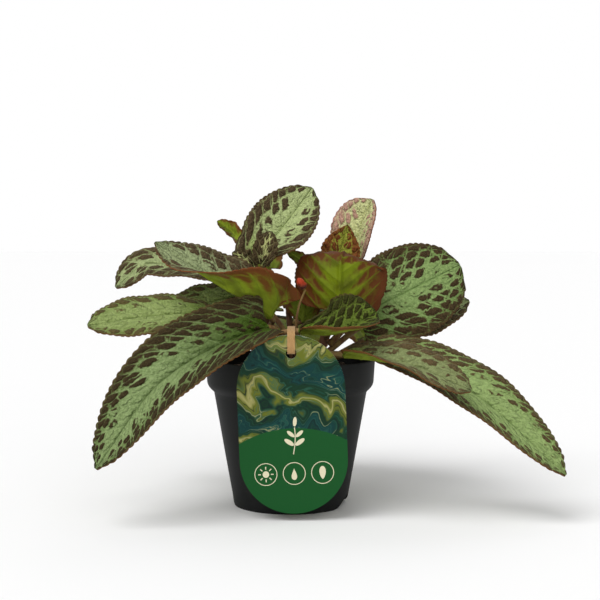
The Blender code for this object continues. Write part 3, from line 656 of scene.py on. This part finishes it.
class Blade:
    """The surface of one leaf. Every method takes arrays of distances in millimetres."""

    def __init__(self, leaf, number):
        self.leaf = leaf
        self.number = number
        centre, radius = stem_at(leaf.stem, leaf.height)
        away = leaf.path[0] - centre
        steep = abs(away.normalized().z)
        away.z = 0
        root = centre + away.normalized() * (radius + leaf.stalk * steep + STALK_GAP)
        steps = 48
        self.points = np.array(smooth_path([root] + leaf.path, steps))
        pieces = np.linalg.norm(np.diff(self.points, axis=0), axis=1)
        total = np.concatenate([[0.0], np.cumsum(pieces)])
        self.arc = total - total[leaf.blade_start * steps]
        self.ahead = unit(np.gradient(self.points, self.arc, axis=0))
        self.length = self.arc[-1]
        self.veins = 9.0 if self.length > LONG_BLADE else 7.0 if self.length > SHORT_BLADE else 4.0
        self.columns = max(1, round(self.length / self.veins / FIELD_LENGTH))
        self.rows = max(3, round(leaf.width / 2 / FIELD_WIDTH))

    def frame(self, along):
        place = np.stack([np.interp(along, self.arc, self.points[:, k]) for k in range(3)], -1)
        ahead = unit(np.stack([np.interp(along, self.arc, self.ahead[:, k]) for k in range(3)], -1))
        u = np.clip(along / self.length, 0.0, 1.0)[..., None]
        facing = heading(*self.leaf.face[0]) * (1 - u) + heading(*self.leaf.face[1]) * u
        side = unit(np.cross(ahead, facing))
        return place, ahead, side, np.cross(side, ahead)

    def across(self, along, lateral):
        half = self.leaf.width / 2
        v = np.abs(lateral) / half
        u = np.clip(along / self.length, 0.0, 1.0)
        left = lateral < 0
        (right0, left0), (right1, left1) = self.leaf.fold
        start = np.where(left, left0, right0)
        end = np.where(left, left1, right1)
        fold = np.radians(start * (1 - u) + end * u)
        curl = np.radians(np.where(left, self.leaf.curl[1], self.leaf.curl[0]) + 0.01)
        out = half * (np.sin(fold + curl * v) - np.sin(fold)) / curl
        rise = half * (np.cos(fold) - np.cos(fold + curl * v)) / curl
        rise = rise + RIPPLE * v * v * np.sin(2 * pi * 3 * u + 1.7 * self.number + 2 * left)
        sign = np.where(left, -1.0, 1.0)
        return sign * out, rise, sign * (fold + curl * v)

    def point(self, along, lateral, depth):
        start = np.maximum(along, 0.0)
        place, ahead, side, up = self.frame(start)
        place = place + ahead * np.minimum(along, 0.0)[..., None]
        out, rise, slope = self.across(start, lateral)
        normal = up * np.cos(slope)[..., None] - side * np.sin(slope)[..., None]
        return place + side * out[..., None] + up * rise[..., None] - normal * depth[..., None]

    def margin(self, t):
        widen, narrow, lobe = SHAPES[self.leaf.shape]
        peak = widen / (widen + narrow)
        fullest = peak**widen * (1 - peak)**narrow
        back = lobe * np.sin(pi * np.minimum(t / LOBE_END, 1.0))
        half = self.leaf.width / 2 * t**widen * (1 - t)**narrow / fullest
        return self.length * (t - back), half * np.minimum((1 - t) / TIP, 1.0)**0.5

    def rib(self, along):
        u = np.clip(along / self.length, 0.0, 1.0)
        return self.leaf.stalk * (1 - RIB_NECK * u**0.5 - RIB_TAPER * u)

    def vein(self, along, lateral):
        """A count that passes a whole number at each side vein."""
        half = self.leaf.width / 2
        side = np.where(lateral < 0, 0.5, 0.0)
        slant = 1.0 if self.length > LONG_BLADE else 0.7
        lean = slant * np.abs(lateral) + 0.30 * lateral**2 / half
        return self.veins * (along - lean) / self.length + side

    def relief(self, across, vein):
        """How far the blade swells between its veins."""
        between = np.abs(np.sin(pi * vein))
        cell = np.abs(np.sin(pi * (self.rows * across + 0.5 * np.floor(vein))))
        inside = ease(1.0 - across, 0.0, 0.16) * ease(across, 0.0, 0.08)
        size = QUILT * min(1.0, self.leaf.width / 50)
        return size * between**0.7 * (0.55 + 0.45 * cell**0.7) * inside


def leaf_rings(blade, columns, rows):
    """Rings of points from the stalk's root to the blade's tip, and each point's guides."""
    reach = -blade.arc[0]
    stalk_rows = max(8, round(reach / 1.6))
    along = np.linspace(-reach, -STALK_END, stalk_rows)
    place, _, side, up = blade.frame(along)
    turn = pi * (np.arange(2 * columns) + 0.5) / columns
    radius = blade.rib(along)[:, None, None] * np.ones((1, 2 * columns, 1))
    stalk = place[:, None] + radius * (side[:, None] * np.cos(turn)[None, :, None]
                                       + up[:, None] * np.sin(turn)[None, :, None])
    u = np.linspace(0.0, 1.0, rows)
    t = FIRST_RING + (LAST_RING - FIRST_RING) * (0.5 * u + 0.5 * (0.5 - 0.5 * np.cos(pi * u)))
    spread = np.linspace(1.0, -1.0, columns)
    w = np.sign(spread) * np.abs(spread)**1.3
    edge, half = blade.margin(t)
    half = np.maximum(half, NARROWEST)
    middle = blade.length * t
    teeth = round(blade.length / (2.8 + 0.012 * blade.length))
    depth = TOOTH * min(1.0, (blade.leaf.width / 60)**0.5)
    notch = 1.0 - np.abs(np.sin(pi * teeth * t))**0.7
    notch = notch * depth * ease(half, 1.0, 6.0)
    far = ease(np.abs(w), 0.72, 1.0)
    lateral = w[None] * half[:, None] - np.sign(w)[None] * notch[:, None] * far[None]
    where = middle[:, None] + (edge - middle)[:, None] * np.abs(w)[None]
    share = np.abs(w)[None] * np.ones_like(where)
    vein = blade.vein(where, lateral)
    swell = blade.relief(share, vein)
    rib = np.minimum(blade.rib(middle), 0.9 * half)[:, None]
    groove = GROOVE * rib * np.exp(-(lateral / (0.55 * rib + 0.2))**2)
    top = blade.point(where, lateral, groove - swell)
    round_rib = rib * np.sqrt(np.clip(1 - (lateral / (0.95 * rib + 0.05))**2, 0.0, 1.0))
    ridge = RIDGE * np.exp(-(np.sin(pi * vein) / 0.22)**2) * ease(1 - share, 0.04, 0.25)
    under = blade.point(where, lateral, BLADE + round_rib + ridge - swell)
    rings = np.concatenate([top, under[:, ::-1]], axis=1)
    flat_guides = np.stack([t[:, None] * np.ones_like(where), share, vein], -1)
    flat_spots = np.stack([where / 10, lateral / 10, np.full_like(where, 5.3 * blade.number)], -1)
    guides = np.concatenate([flat_guides, flat_guides[:, ::-1]], axis=1)
    spots = np.concatenate([flat_spots, flat_spots[:, ::-1]], axis=1)
    stalk_guides = np.zeros((stalk_rows, 2 * columns, 3))
    stalk_spots = np.stack([along[:, None] / 10 * np.ones((1, 2 * columns)),
                            np.cos(turn)[None] * np.ones((stalk_rows, 1)) * 0.2,
                            np.full((stalk_rows, 2 * columns), 5.3 * blade.number)], -1)
    return (np.concatenate([stalk, rings]), np.concatenate([stalk_guides, guides]),
            np.concatenate([stalk_spots, spots]), stalk_rows)


def skin_faces(rows, count):
    """Quads over equal rings, row by row, and a cap on each end."""
    row, k = np.meshgrid(np.arange(rows - 1), np.arange(count), indexing="ij")
    nxt = (k + 1) % count
    a, b = row * count + k, row * count + nxt
    quads = np.stack([a, a + count, b + count, b], -1).reshape(-1, 4)
    return list(quads) + [range(count), range((rows - 1) * count, rows * count)]


def new_object(name, mesh):
    piece = bpy.data.objects.new(name, mesh)
    bpy.context.scene.collection.objects.link(piece)
    return piece


def make_mesh(name, points, faces, looks, smooth=True):
    """A mesh object from points in millimetres, with its faces turned outward."""
    mesh = bpy.data.meshes.new(name)
    scaled = np.asarray(points, float).reshape(-1, 3) * MM
    mesh.from_pydata(scaled.tolist(), [], [tuple(int(i) for i in f) for f in faces])
    for look in looks:
        mesh.materials.append(look)
    shape = bmesh.new()
    shape.from_mesh(mesh)
    bmesh.ops.recalc_face_normals(shape, faces=shape.faces)
    for face in shape.faces:
        face.smooth = smooth
    shape.to_mesh(mesh)
    shape.free()
    return new_object(name, mesh)


def add_vectors(piece, name, values):
    layer = piece.data.attributes.new(name, "FLOAT_VECTOR", "POINT")
    layer.data.foreach_set("vector", np.asarray(values, np.float32).ravel())


def dress(piece, node):
    """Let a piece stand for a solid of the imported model."""
    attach(piece, "root")
    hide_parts(node)


def build_leaf(leaf, number, upper, under, stalk):
    blade = Blade(leaf, number)
    big = blade.length > 55
    columns = 49 if big else 33
    rows = max(60, round(blade.length * 1.25)) if big else 60
    rings, guides, spots, stalk_rows = leaf_rings(blade, columns, rows)
    count = 2 * columns
    faces = skin_faces(len(rings), count)
    piece = make_mesh("blade_" + leaf.name, rings, faces, [upper, under, stalk])
    add_vectors(piece, "blade", guides)
    add_vectors(piece, "spot", spots)
    add_vectors(piece, "layout", np.tile([blade.columns, blade.rows, 0.0], (rings.size // 3, 1)))
    row, column = np.divmod(np.arange(len(faces) - 2), count)
    slots = np.where(row < stalk_rows - 1, 2, np.where(column < columns - 1, 0, 1))
    slots = np.concatenate([slots, [2, 1]]).astype(np.int32)
    piece.data.polygons.foreach_set("material_index", slots)
    dress(piece, "leaf_" + leaf.name)
    return piece


def turns(count):
    """Angles that divide a full turn evenly."""
    return [2 * pi * k / count for k in range(count)]


def circle(across, up, radius, count):
    return [(across + radius * cos(a), up + radius * sin(a)) for a in turns(count)]


def tube_rings(path, radii, sides):
    """A ring of points round each place of a path, without twist."""
    rings = []
    side = Vector((1, 0, 0))
    for i, place in enumerate(path):
        ahead = (path[min(i + 1, len(path) - 1)] - path[max(i - 1, 0)]).normalized()
        side = (side - ahead * side.dot(ahead)).normalized()
        up = ahead.cross(side)
        rings.append([place + (side * cos(a) + up * sin(a)) * radii[i] for a in turns(sides)])
    return rings


def tube(name, path, radii, sides, look):
    points = [place for ring in tube_rings(path, radii, sides) for place in ring]
    return make_mesh(name, points, skin_faces(len(path), sides), [look])


def build_stem(name, look):
    """A shoot with a slight swelling wherever a leaf leaves it."""
    points, foot_radius, top_radius = STEMS[name]
    path = smooth_path([Vector(p) for p in points], 14)
    joints = [leaf.height for leaf in LEAVES if leaf.stem == name]
    radii = []
    for place in path:
        rise = (place.z - path[0].z) / (path[-1].z - path[0].z)
        swell = max([0.0] + [0.35 * max(0.0, 1 - abs(place.z - h) / 2.5) for h in joints])
        radii.append(foot_radius + (top_radius - foot_radius) * rise + swell)
    top = path[-1]
    ahead = (path[-1] - path[-2]).normalized()
    for lift, share in ((0.7, 0.9), (1.2, 0.65), (1.6, 0.25)):
        path.append(top + ahead * lift)
        radii.append(top_radius * share)
    piece = tube("shoot_" + name, path, radii, 20, look)
    dress(piece, "stem_" + name)


def lathe(name, profile, steps, looks):
    """Turn a closed profile of (radius, height) about the Z axis."""
    points, rows = [], []
    for radius, height in profile:
        if radius == 0:
            rows.append([len(points)] * steps)
            points.append((0.0, 0.0, height))
            continue
        rows.append(list(range(len(points), len(points) + steps)))
        points += [(x, y, height) for x, y in circle(0, 0, radius, steps)]
    faces = []
    for low, high in zip(rows, rows[1:] + rows[:1]):
        for k in range(steps):
            j = (k + 1) % steps
            corners = dict.fromkeys((low[k], low[j], high[j], high[k]))
            if len(corners) > 2:
                faces.append(tuple(corners))
    return make_mesh(name, points, faces, looks)


def prism(outline, offset):
    count = len(outline)
    points = [Vector(p) for p in outline] + [Vector(p) + Vector(offset) for p in outline]
    faces = [tuple(range(count)), tuple(range(2 * count - 1, count - 1, -1))]
    for i in range(count):
        j = (i + 1) % count
        faces.append((i, i + count, j + count, j))
    return points, faces


def cut(piece, outline, offset, turn=0.0):
    """Cut a swept outline out of a piece, and keep the result as its mesh."""
    spin = Matrix.Rotation(radians(turn), 3, "Z")
    points, faces = prism(outline, offset)
    tool = make_mesh("cutter", [spin @ p for p in points], faces, [piece.data.materials[0]])
    step = piece.modifiers.new("cut", "BOOLEAN")
    step.operation = "DIFFERENCE"
    step.solver = "EXACT"
    step.object = tool
    graph = bpy.context.evaluated_depsgraph_get()
    graph.update()
    final = bpy.data.meshes.new_from_object(piece.evaluated_get(graph))
    piece.modifiers.clear()
    piece.data = final
    bpy.data.objects.remove(tool, do_unlink=True)


def arc(centre, radius, start, end, steps=6):
    """Points of a round corner in the profile, for angles in degrees."""
    angles = [radians(start + (end - start) * i / steps) for i in range(steps + 1)]
    return [(centre[0] + radius * cos(a), centre[1] + radius * sin(a)) for a in angles]


def build_pot(look):
    lip = WALL / 2
    body = arc((RIM_RADIUS - lip, POT_HEIGHT - lip), lip, 90, 0)
    body += [(RIM_RADIUS - 0.5, 96), (RIM_RADIUS - 1, RIM_FOOT)]
    body += [(RIM_RADIUS - 1.25, RIM_FOOT - 1.4), (RIM_RADIUS - 1.8, RIM_FOOT - 2.8),
             (RIM_RADIUS - 2.7, RIM_FOOT - 4.2), (RIM_RADIUS - 3.9, RIM_FOOT - 5.5),
             (BODY_RADIUS + 0.9, SHOULDER + 1.4), (BODY_RADIUS + 0.3, SHOULDER + 0.7),
             (BODY_RADIUS, SHOULDER), (BODY_RADIUS - 0.45, SHOULDER - 2.5)]
    body += [(50.5, 60), (46, 34), (42.4, 14), (41.3, 8),
             (FOOT_RADIUS + 0.1, 0.5), (FOOT_RADIUS - 0.3, 0)]
    beneath = [(FOOT_RADIUS - 1.3, 0), (FOOT_RADIUS - 1.5, 0.3), (FOOT_RADIUS - 0.8, FLOOR_TOP - 1.4),
               (PAD_RADIUS + 1.6, FLOOR_TOP - 1.4), (PAD_RADIUS + 0.1, 0.5), (PAD_RADIUS - 0.4, 0), (0, 0)]
    inside = [(0, PAD_TOP), (PAD_RADIUS - 1.5, PAD_TOP), (PAD_RADIUS + 0.2, FLOOR_TOP),
              (FLOOR_RADIUS - WALL, FLOOR_TOP), (BODY_RADIUS - WALL, SHOULDER + 0.3),
              (BODY_RADIUS - WALL + 0.4, SHOULDER + 1.3),
              (RIM_RADIUS - 3.6 - WALL, RIM_FOOT - 4.5), (RIM_RADIUS - 1.7 - WALL, RIM_FOOT - 2),
              (RIM_RADIUS - 1 - WALL, RIM_FOOT + 0.6)]
    inside += arc((RIM_RADIUS - lip, POT_HEIGHT - lip), lip, 180, 105, 5)
    pot = lathe("pot_shell", body + beneath + inside, 144, [look])
    outline = [(30, NOTCH_HALF_WIDTH, -2), (30, -NOTCH_HALF_WIDTH, -2)]
    for i in range(33):
        x = -NOTCH_HALF_WIDTH + 2 * NOTCH_HALF_WIDTH * i / 32
        outline.append((30, x, NOTCH_HEIGHT * (0.5 + 0.5 * cos(pi * x / NOTCH_HALF_WIDTH)) - 0.01))
    for turn in NOTCH_HEADINGS:
        cut(pot, outline, (16, 0, 0), turn)
    hole = [(x, y, FLOOR_TOP - 3) for x, y in circle(DRAIN_RING, 0, DRAIN_RADIUS, 32)]
    for number in range(DRAIN_HOLES):
        cut(pot, hole, (0, 0, 5), 360 * (number + 0.5) / DRAIN_HOLES)
    for face in pot.data.polygons:
        face.use_smooth = True
    pot.data.set_sharp_from_angle(angle=radians(38))
    dress(pot, "pot")


def soil_height(x, y):
    """Low lumps over the soil, with finer ones on them."""
    place = Vector((x, y, 0.0))
    lumps = noise.noise(place * 0.085) * 1.9 + noise.noise(place * 0.24 + Vector((9, 2, 0))) * 1.2
    return lumps + noise.noise(place * 0.8) * 0.7 + noise.noise(place * 2.1) * 0.35


def build_soil(look):
    """Peat with a rough crumbled top. Its side and floor follow the pot."""
    steps = 180
    side = [(0, PAD_TOP + CLEAR), (PAD_RADIUS - 1.5 - CLEAR, PAD_TOP + CLEAR),
            (PAD_RADIUS - CLEAR, FLOOR_TOP + CLEAR),
            (FLOOR_RADIUS - WALL - CLEAR, FLOOR_TOP + CLEAR),
            (BODY_RADIUS - WALL - 0.4, SHOULDER + 0.2),
            (RIM_RADIUS - 3.6 - WALL - 0.5, RIM_FOOT - 4.2),
            (RIM_RADIUS - 1 - WALL - 0.7, RIM_FOOT + 0.6), (SOIL_EDGE, SOIL_LEVEL - 0.6)]
    top = [(SOIL_EDGE * (1 - i / 62), SOIL_LEVEL) for i in range(1, 62)] + [(0, SOIL_LEVEL + 1)]
    soil = lathe("peat_body", side + top, steps, [look])
    for vertex in soil.data.vertices:
        x, y, z = vertex.co / MM
        reach = (x * x + y * y)**0.5
        if z > SOIL_LEVEL - 0.3:
            rise = 1.0 - min(1.0, reach / SOIL_REACH)**4
            crown = 1 - (reach / SOIL_REACH)**2
            vertex.co.z = (SOIL_LEVEL + crown + soil_height(x, y) * rise) * MM
    add_crumbs(soil)
    dress(soil, "soil")


def soil_spot(chance, spread):
    """A random place on the soil: heading, distance from the middle, x, y and the soil's height."""
    turn, reach = chance.uniform(0, 2 * pi), spread * chance.random()**0.5
    x, y = reach * cos(turn), reach * sin(turn)
    return turn, reach, x, y, SOIL_LEVEL + (1 - (reach / SOIL_REACH)**2) + soil_height(x, y)


def add_crumbs(soil):
    """Scatter crumbs and short fibres over the soil, each sunk into it."""
    chance = random.Random(11)
    shape = bmesh.new()
    shape.from_mesh(soil.data)
    for _ in range(CRUMBS):
        turn, reach, x, y, ground = soil_spot(chance, 53)
        size = chance.choice((0.6, 0.8, 1.0, 1.3, 1.9))
        made = bmesh.ops.create_icosphere(shape, subdivisions=2, radius=size * MM)
        stretch = Vector((chance.uniform(0.7, 1.3), chance.uniform(0.7, 1.3), chance.uniform(0.5, 0.9)))
        for vertex in made["verts"]:
            rough = 1 + 0.35 * noise.noise(vertex.co * 900 + Vector((turn * 9, reach, 0)))
            vertex.co = Vector(a * b for a, b in zip(vertex.co, stretch)) * rough
            vertex.co += Vector((x, y, ground + 0.2 * size)) * MM
    for _ in range(FIBRES):
        _, _, x, y, ground = soil_spot(chance, 52)
        height = ground + 0.3
        aim = chance.uniform(0, 2 * pi)
        run = Vector((cos(aim), sin(aim), 0)) * chance.uniform(2, 5)
        middle = Vector((x, y, height + chance.uniform(0.3, 1.6)))
        ends = [Vector((x, y, height)) - run, middle, Vector((x, y, height - 0.4)) + run]
        path = smooth_path(ends, 4)
        rings = tube_rings(path, [0.18 * (1 - 0.6 * abs(i / 4 - 1)) for i in range(len(path))], 5)
        made = [[shape.verts.new(p * MM) for p in ring] for ring in rings]
        for low, high in zip(made, made[1:]):
            for k in range(5):
                shape.faces.new((low[k], high[k], high[(k + 1) % 5], low[(k + 1) % 5]))
        shape.faces.new(made[0])
        shape.faces.new(reversed(made[-1]))
    bmesh.ops.recalc_face_normals(shape, faces=shape.faces)
    for face in shape.faces:
        face.smooth = True
    shape.to_mesh(soil.data)
    shape.free()


def label_point(x, z, y):
    """A point of the label's own plane, with its lean, in the shared frame."""
    lean = Matrix.Rotation(radians(LABEL_LEAN), 2)
    turned = lean @ Vector((x, z))
    return Vector((LABEL_CENTRE[0] + turned.x, y, LABEL_CENTRE[1] + turned.y))


def stadium(width, height, steps):
    radius = width / 2
    rise = height / 2 - radius
    top = [(radius * cos(pi * i / steps), rise + radius * sin(pi * i / steps))
           for i in range(steps + 1)]
    return top + [(-x, -z) for x, z in top]


def build_label(front, back, ink):
    outline = [label_point(x, z, LABEL_FRONT) for x, z in stadium(LABEL_WIDTH, LABEL_HEIGHT, 48)]
    points, faces = prism(outline, (0, LABEL_THICK, 0))
    label = make_mesh("tag_card", points, faces, [front, back], smooth=False)
    hole = [(x, LABEL_FRONT - 2, z) for x, z in circle(*TAG_HOLE, TAG_HOLE_RADIUS, 40)]
    cut(label, hole, (0, LABEL_THICK + 4, 0))
    for face in label.data.polygons:
        face.material_index = 0 if face.normal.y < -0.5 else 1
    lean = Matrix.Rotation(radians(-LABEL_LEAN), 2)
    spots = []
    for vertex in label.data.vertices:
        x, _, z = vertex.co / MM
        flat = lean @ Vector((x - LABEL_CENTRE[0], z - LABEL_CENTRE[1]))
        spots.append((flat.x / 10, flat.y / 10, 0.0))
    add_vectors(label, "print", spots)
    dress(label, "label")
    build_icons(ink)


def ink_shape(outline, points, faces):
    """Add one printed shape: a thin raised layer on the label's front."""
    ring = [label_point(x, z, LABEL_FRONT - INK) for x, z in outline]
    made, sides = prism(ring, (0, INK - 0.01, 0))
    start = len(points)
    points += made
    faces += [tuple(start + i for i in face) for face in sides]


def stroke(path, width):
    """Outline of a line of even width along a path of (x, z) points."""
    left, right = [], []
    for i, (x, z) in enumerate(path):
        ax, az = path[max(i - 1, 0)]
        bx, bz = path[min(i + 1, len(path) - 1)]
        length = ((bx - ax)**2 + (bz - az)**2)**0.5
        nx, nz = -(bz - az) / length, (bx - ax) / length
        left.append((x + nx * width / 2, z + nz * width / 2))
        right.append((x - nx * width / 2, z - nz * width / 2))
    return left + right[::-1]


def build_icons(ink):
    """Plain care signs in cream: a sun, a drop, a leaf and a ring around each."""
    points, faces = [], []
    for middle in (-SIGN_STEP, 0.0, SIGN_STEP):
        ring = circle(middle, SIGN_ROW, SIGN_RADIUS, 48)
        for ends in zip(ring, ring[1:] + ring[:1]):
            ink_shape(stroke(ends, 0.5), points, faces)
    ink_shape(circle(-SIGN_STEP, SIGN_ROW, 2.2, 24), points, faces)
    for a in turns(8):
        ray = [(-SIGN_STEP + r * cos(a), SIGN_ROW + r * sin(a)) for r in (3.3, 5.2)]
        ink_shape(stroke(ray, 0.7), points, faces)
    drop = [(2.7 * sin(a) * sin(a / 2)**1.6, SIGN_ROW - 0.4 + 3.9 * cos(a)) for a in turns(32)]
    ink_shape(drop, points, faces)
    leaf = [(SIGN_STEP + 2.5 * sin(a) * abs(sin(a / 2))**0.5, SIGN_ROW - 4.4 * cos(a))
            for a in turns(24)]
    ink_shape(leaf, points, faces)
    sprig(points, faces)
    piece = make_mesh("tag_signs", points, faces, [ink], smooth=False)
    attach(piece, "root")


def sprig(points, faces):
    """A drawn sprig: a gently curved stalk with pairs of filled leaves and one at its tip."""
    stalk = [(1.6 * sin(i / 16 * 2.2), -20 + 18 * i / 16) for i in range(17)]
    ink_shape(stroke(stalk, 0.6), points, faces)
    for i, size, headings in ((5, 7.4, (35, 145)), (10, 6.2, (40, 140)), (16, 6.4, (84,))):
        for aim in map(radians, headings):
            x, z = stalk[i][0] + 0.7 * cos(aim), stalk[i][1] + 0.7 * sin(aim)
            blade = []
            for a in turns(24):
                along, wide = size * (0.5 - 0.5 * cos(a)), 0.20 * size * sin(a)
                blade.append((x + along * cos(aim) - wide * sin(aim),
                              z + along * sin(aim) + wide * cos(aim)))
            ink_shape(blade, points, faces)


def build_band(look):
    """A flat closed loop through the label's hole and over a leaf stalk."""
    route = [(-60.6, 113.4), (-62.3, 116), (-62.4, 122), (-61.2, 126.3), (-57, 128.5), (-50, 129.7),
             (-43.5, 129.6), (-39.8, 127.2), (-39.6, 123), (-43.5, 119), (-50, 115.6), (-57.6, 112.9)]
    stops = [Vector((TAG_HOLE[0], y, z)) for y, z in route]
    count = len(stops)
    loop = []
    for i in range(count):
        part = smooth_path([stops[(i + k) % count] for k in (-1, 0, 1, 2)], 8)
        loop += part[8:16]
    section = []
    for a in turns(BAND_SIDES):
        wide = np.sign(cos(a)) * abs(cos(a))**0.35
        thick = np.sign(sin(a)) * abs(sin(a))**0.7
        section.append((wide * BAND_WIDTH / 2, thick * BAND_THICK / 2))
    across = Vector((1, 0, 0))
    points, strands = [], []
    for i, place in enumerate(loop):
        ahead = (loop[(i + 1) % len(loop)] - loop[i - 1]).normalized()
        out = across.cross(ahead)
        wave = 0.12 * sin(i * 0.9)
        for wide, thick in section:
            points.append(place + across * (wide * (1 + 0.03 * sin(i * 1.7)) + wave) + out * thick)
            strands.append((i * 0.1, wide / BAND_WIDTH, 0.0))
    faces = []
    for row in range(len(loop)):
        for k in range(BAND_SIDES):
            a, b = row * BAND_SIDES + k, row * BAND_SIDES + (k + 1) % BAND_SIDES
            faces.append((a, (a + BAND_SIDES) % len(points), (b + BAND_SIDES) % len(points), b))
    band = make_mesh("tag_band", points, faces, [look])
    add_vectors(band, "strand", strands)
    dress(band, "label_band")


def build_flower(skin, petal):
    """One closed bud with a five-lobed calyx, on a thin stalk."""
    centre, radius = stem_at("front", 115)
    foot = centre + Vector((0.9, -0.5, 0)).normalized() * (radius + CLEAR + 0.9)
    path = smooth_path([foot, Vector((4, -28, 128)), Vector((6, -29, 142)),
                        Vector((10.4, -28, 154))], 12)
    radii = [0.9 - 0.2 * i / (len(path) - 1) for i in range(len(path))]
    dress(tube("bud_stalk", path, radii, 14, skin), "flower_stalk")
    aim = (Vector((5.2, -29.5, 162)) - path[-1]).normalized()
    start = path[-1] + aim * (CLEAR + 0.5)
    profile = [(0.0, 0.9), (0.4, 1.7), (1.0, 2.3), (1.8, 2.75), (2.6, 2.9), (3.3, 2.75),
               (3.9, 2.6), (4.6, 2.7), (5.4, 2.75), (6.2, 2.5), (7.0, 2.1), (7.8, 1.5), (8.4, 0.9),
               (8.7, 0.4)]
    sides = 40
    rings = tube_rings([start + aim * along for along, _ in profile], [r for _, r in profile], sides)
    points = []
    for (along, _), ring in zip(profile, rings):
        middle = start + aim * along
        for k, place in enumerate(ring):
            fold = 1 + (0.07 if along < 3.5 else 0.05) * cos(5 * 2 * pi * k / sides + along * 0.5)
            points.append(middle + (place - middle) * fold)
    bud = make_mesh("bud_closed", points, skin_faces(len(rings), sides), [petal])
    dress(bud, "flower_bud")


def add_camera():
    camera = bpy.data.cameras.new("camera")
    camera.lens = CAMERA_LENS
    camera.sensor_width = SENSOR_WIDTH
    view = new_object("camera", camera)
    view.location = CAMERA_PLACE
    aim = Vector(CAMERA_AIM) - view.location
    view.rotation_euler = aim.to_track_quat("-Z", "Y").to_euler()
    bpy.context.scene.camera = view


def add_light(name, place, strength):
    """A wide soft light from far away, so that the floor is as bright everywhere."""
    lamp = bpy.data.lights.new(name, "SUN")
    lamp.angle = radians(SOFTNESS)
    lamp.energy = strength
    light = new_object(name, lamp)
    light.location = place
    light.rotation_euler = (-light.location).to_track_quat("-Z", "Y").to_euler()


def add_sky():
    """Even white all round, with less light than it shows, so that shapes keep their shading."""
    world = bpy.data.worlds.new("sky")
    world.use_nodes = True
    nodes, links = world.node_tree.nodes, world.node_tree.links
    path = nodes.new("ShaderNodeLightPath")
    strength = nodes.new("ShaderNodeMapRange")
    strength.inputs["To Min"].default_value = SKY_LIGHT
    strength.inputs["To Max"].default_value = 1.0
    links.new(path.outputs["Is Camera Ray"], strength.inputs["Value"])
    links.new(strength.outputs["Result"], nodes["Background"].inputs["Strength"])
    nodes["Background"].inputs["Color"].default_value = (1.0, 1.0, 1.0, 1.0)
    bpy.context.scene.world = world
    bpy.context.scene.view_settings.view_transform = "Standard"


def add_studio():
    """A plain white floor and sky, and three soft lights."""
    mesh = bpy.data.meshes.new("floor")
    corners = [(x * FLOOR_REACH, y * FLOOR_REACH, 0) for x, y in ((-1, -1), (1, -1), (1, 1), (-1, 1))]
    mesh.from_pydata(corners, [], [(0, 1, 2, 3)])
    paper = bpy.data.materials.new("floor_paper")
    paper.use_nodes = True
    shader = paper.node_tree.nodes["Principled BSDF"]
    shader.inputs["Base Color"].default_value = (FLOOR_WHITE, FLOOR_WHITE, FLOOR_WHITE, 1.0)
    shader.inputs["Roughness"].default_value = 0.9
    mesh.materials.append(paper)
    new_object("floor", mesh)
    add_sky()
    for name, (place, strength) in LIGHTS.items():
        add_light(name, place, strength)


def dress_plant():
    stalk_skin = skin_material("stalk_skin", (0.13, 0.060, 0.024), (0.20, 0.14, 0.04))
    stem_skin = skin_material("stem_skin", (0.070, 0.028, 0.014), (0.12, 0.056, 0.024))
    lime = under_material("under_lime", (0.19, 0.25, 0.020), (0.12, 0.15, 0.014),
                          (0.14, 0.055, 0.012), (0.13, 0.048, 0.014), 0.60)
    rusty = under_material("under_rusty", (0.25, 0.33, 0.020), (0.15, 0.19, 0.012),
                           (0.16, 0.060, 0.014), (0.18, 0.050, 0.016), 0.44)
    arched = under_material("under_arched", (0.150, 0.200, 0.004), (0.085, 0.100, 0.003),
                            (0.095, 0.027, 0.005), (0.100, 0.024, 0.006), 0.34, 0.47)
    pale_skin = skin_material("pale_skin", (0.26, 0.15, 0.065), (0.32, 0.24, 0.08))
    unders = {"centre_arched": arched, "left_folded": rusty, "top_back": rusty,
              "red_upright": rusty, "pink_upright": rusty}
    uppers = {key: upper_material("upper_" + key, **look) for key, look in LOOKS.items()}
    for number, leaf in enumerate(LEAVES):
        under = unders.get(leaf.name, lime)
        skin = pale_skin if leaf.look in ("small", "worn") else stalk_skin
        build_leaf(leaf, number, uppers[leaf.look], under, skin)
    for name in STEMS:
        build_stem(name, stem_skin)
    build_flower(stalk_skin, petal_material())


def main():
    add_camera()
    add_studio()
    dress_plant()
    build_pot(pot_material())
    build_soil(soil_material())
    card_back = plain_material("card_back", (0.62, 0.60, 0.52), (0.70, 0.68, 0.60), 0.6, 900.0, 0.03)
    ink = plain_material("ink_cream", (0.66, 0.60, 0.40), (0.72, 0.66, 0.46), 0.35, 900.0, 0.01)
    build_label(print_material(), card_back, ink)
    build_band(band_material())


main()
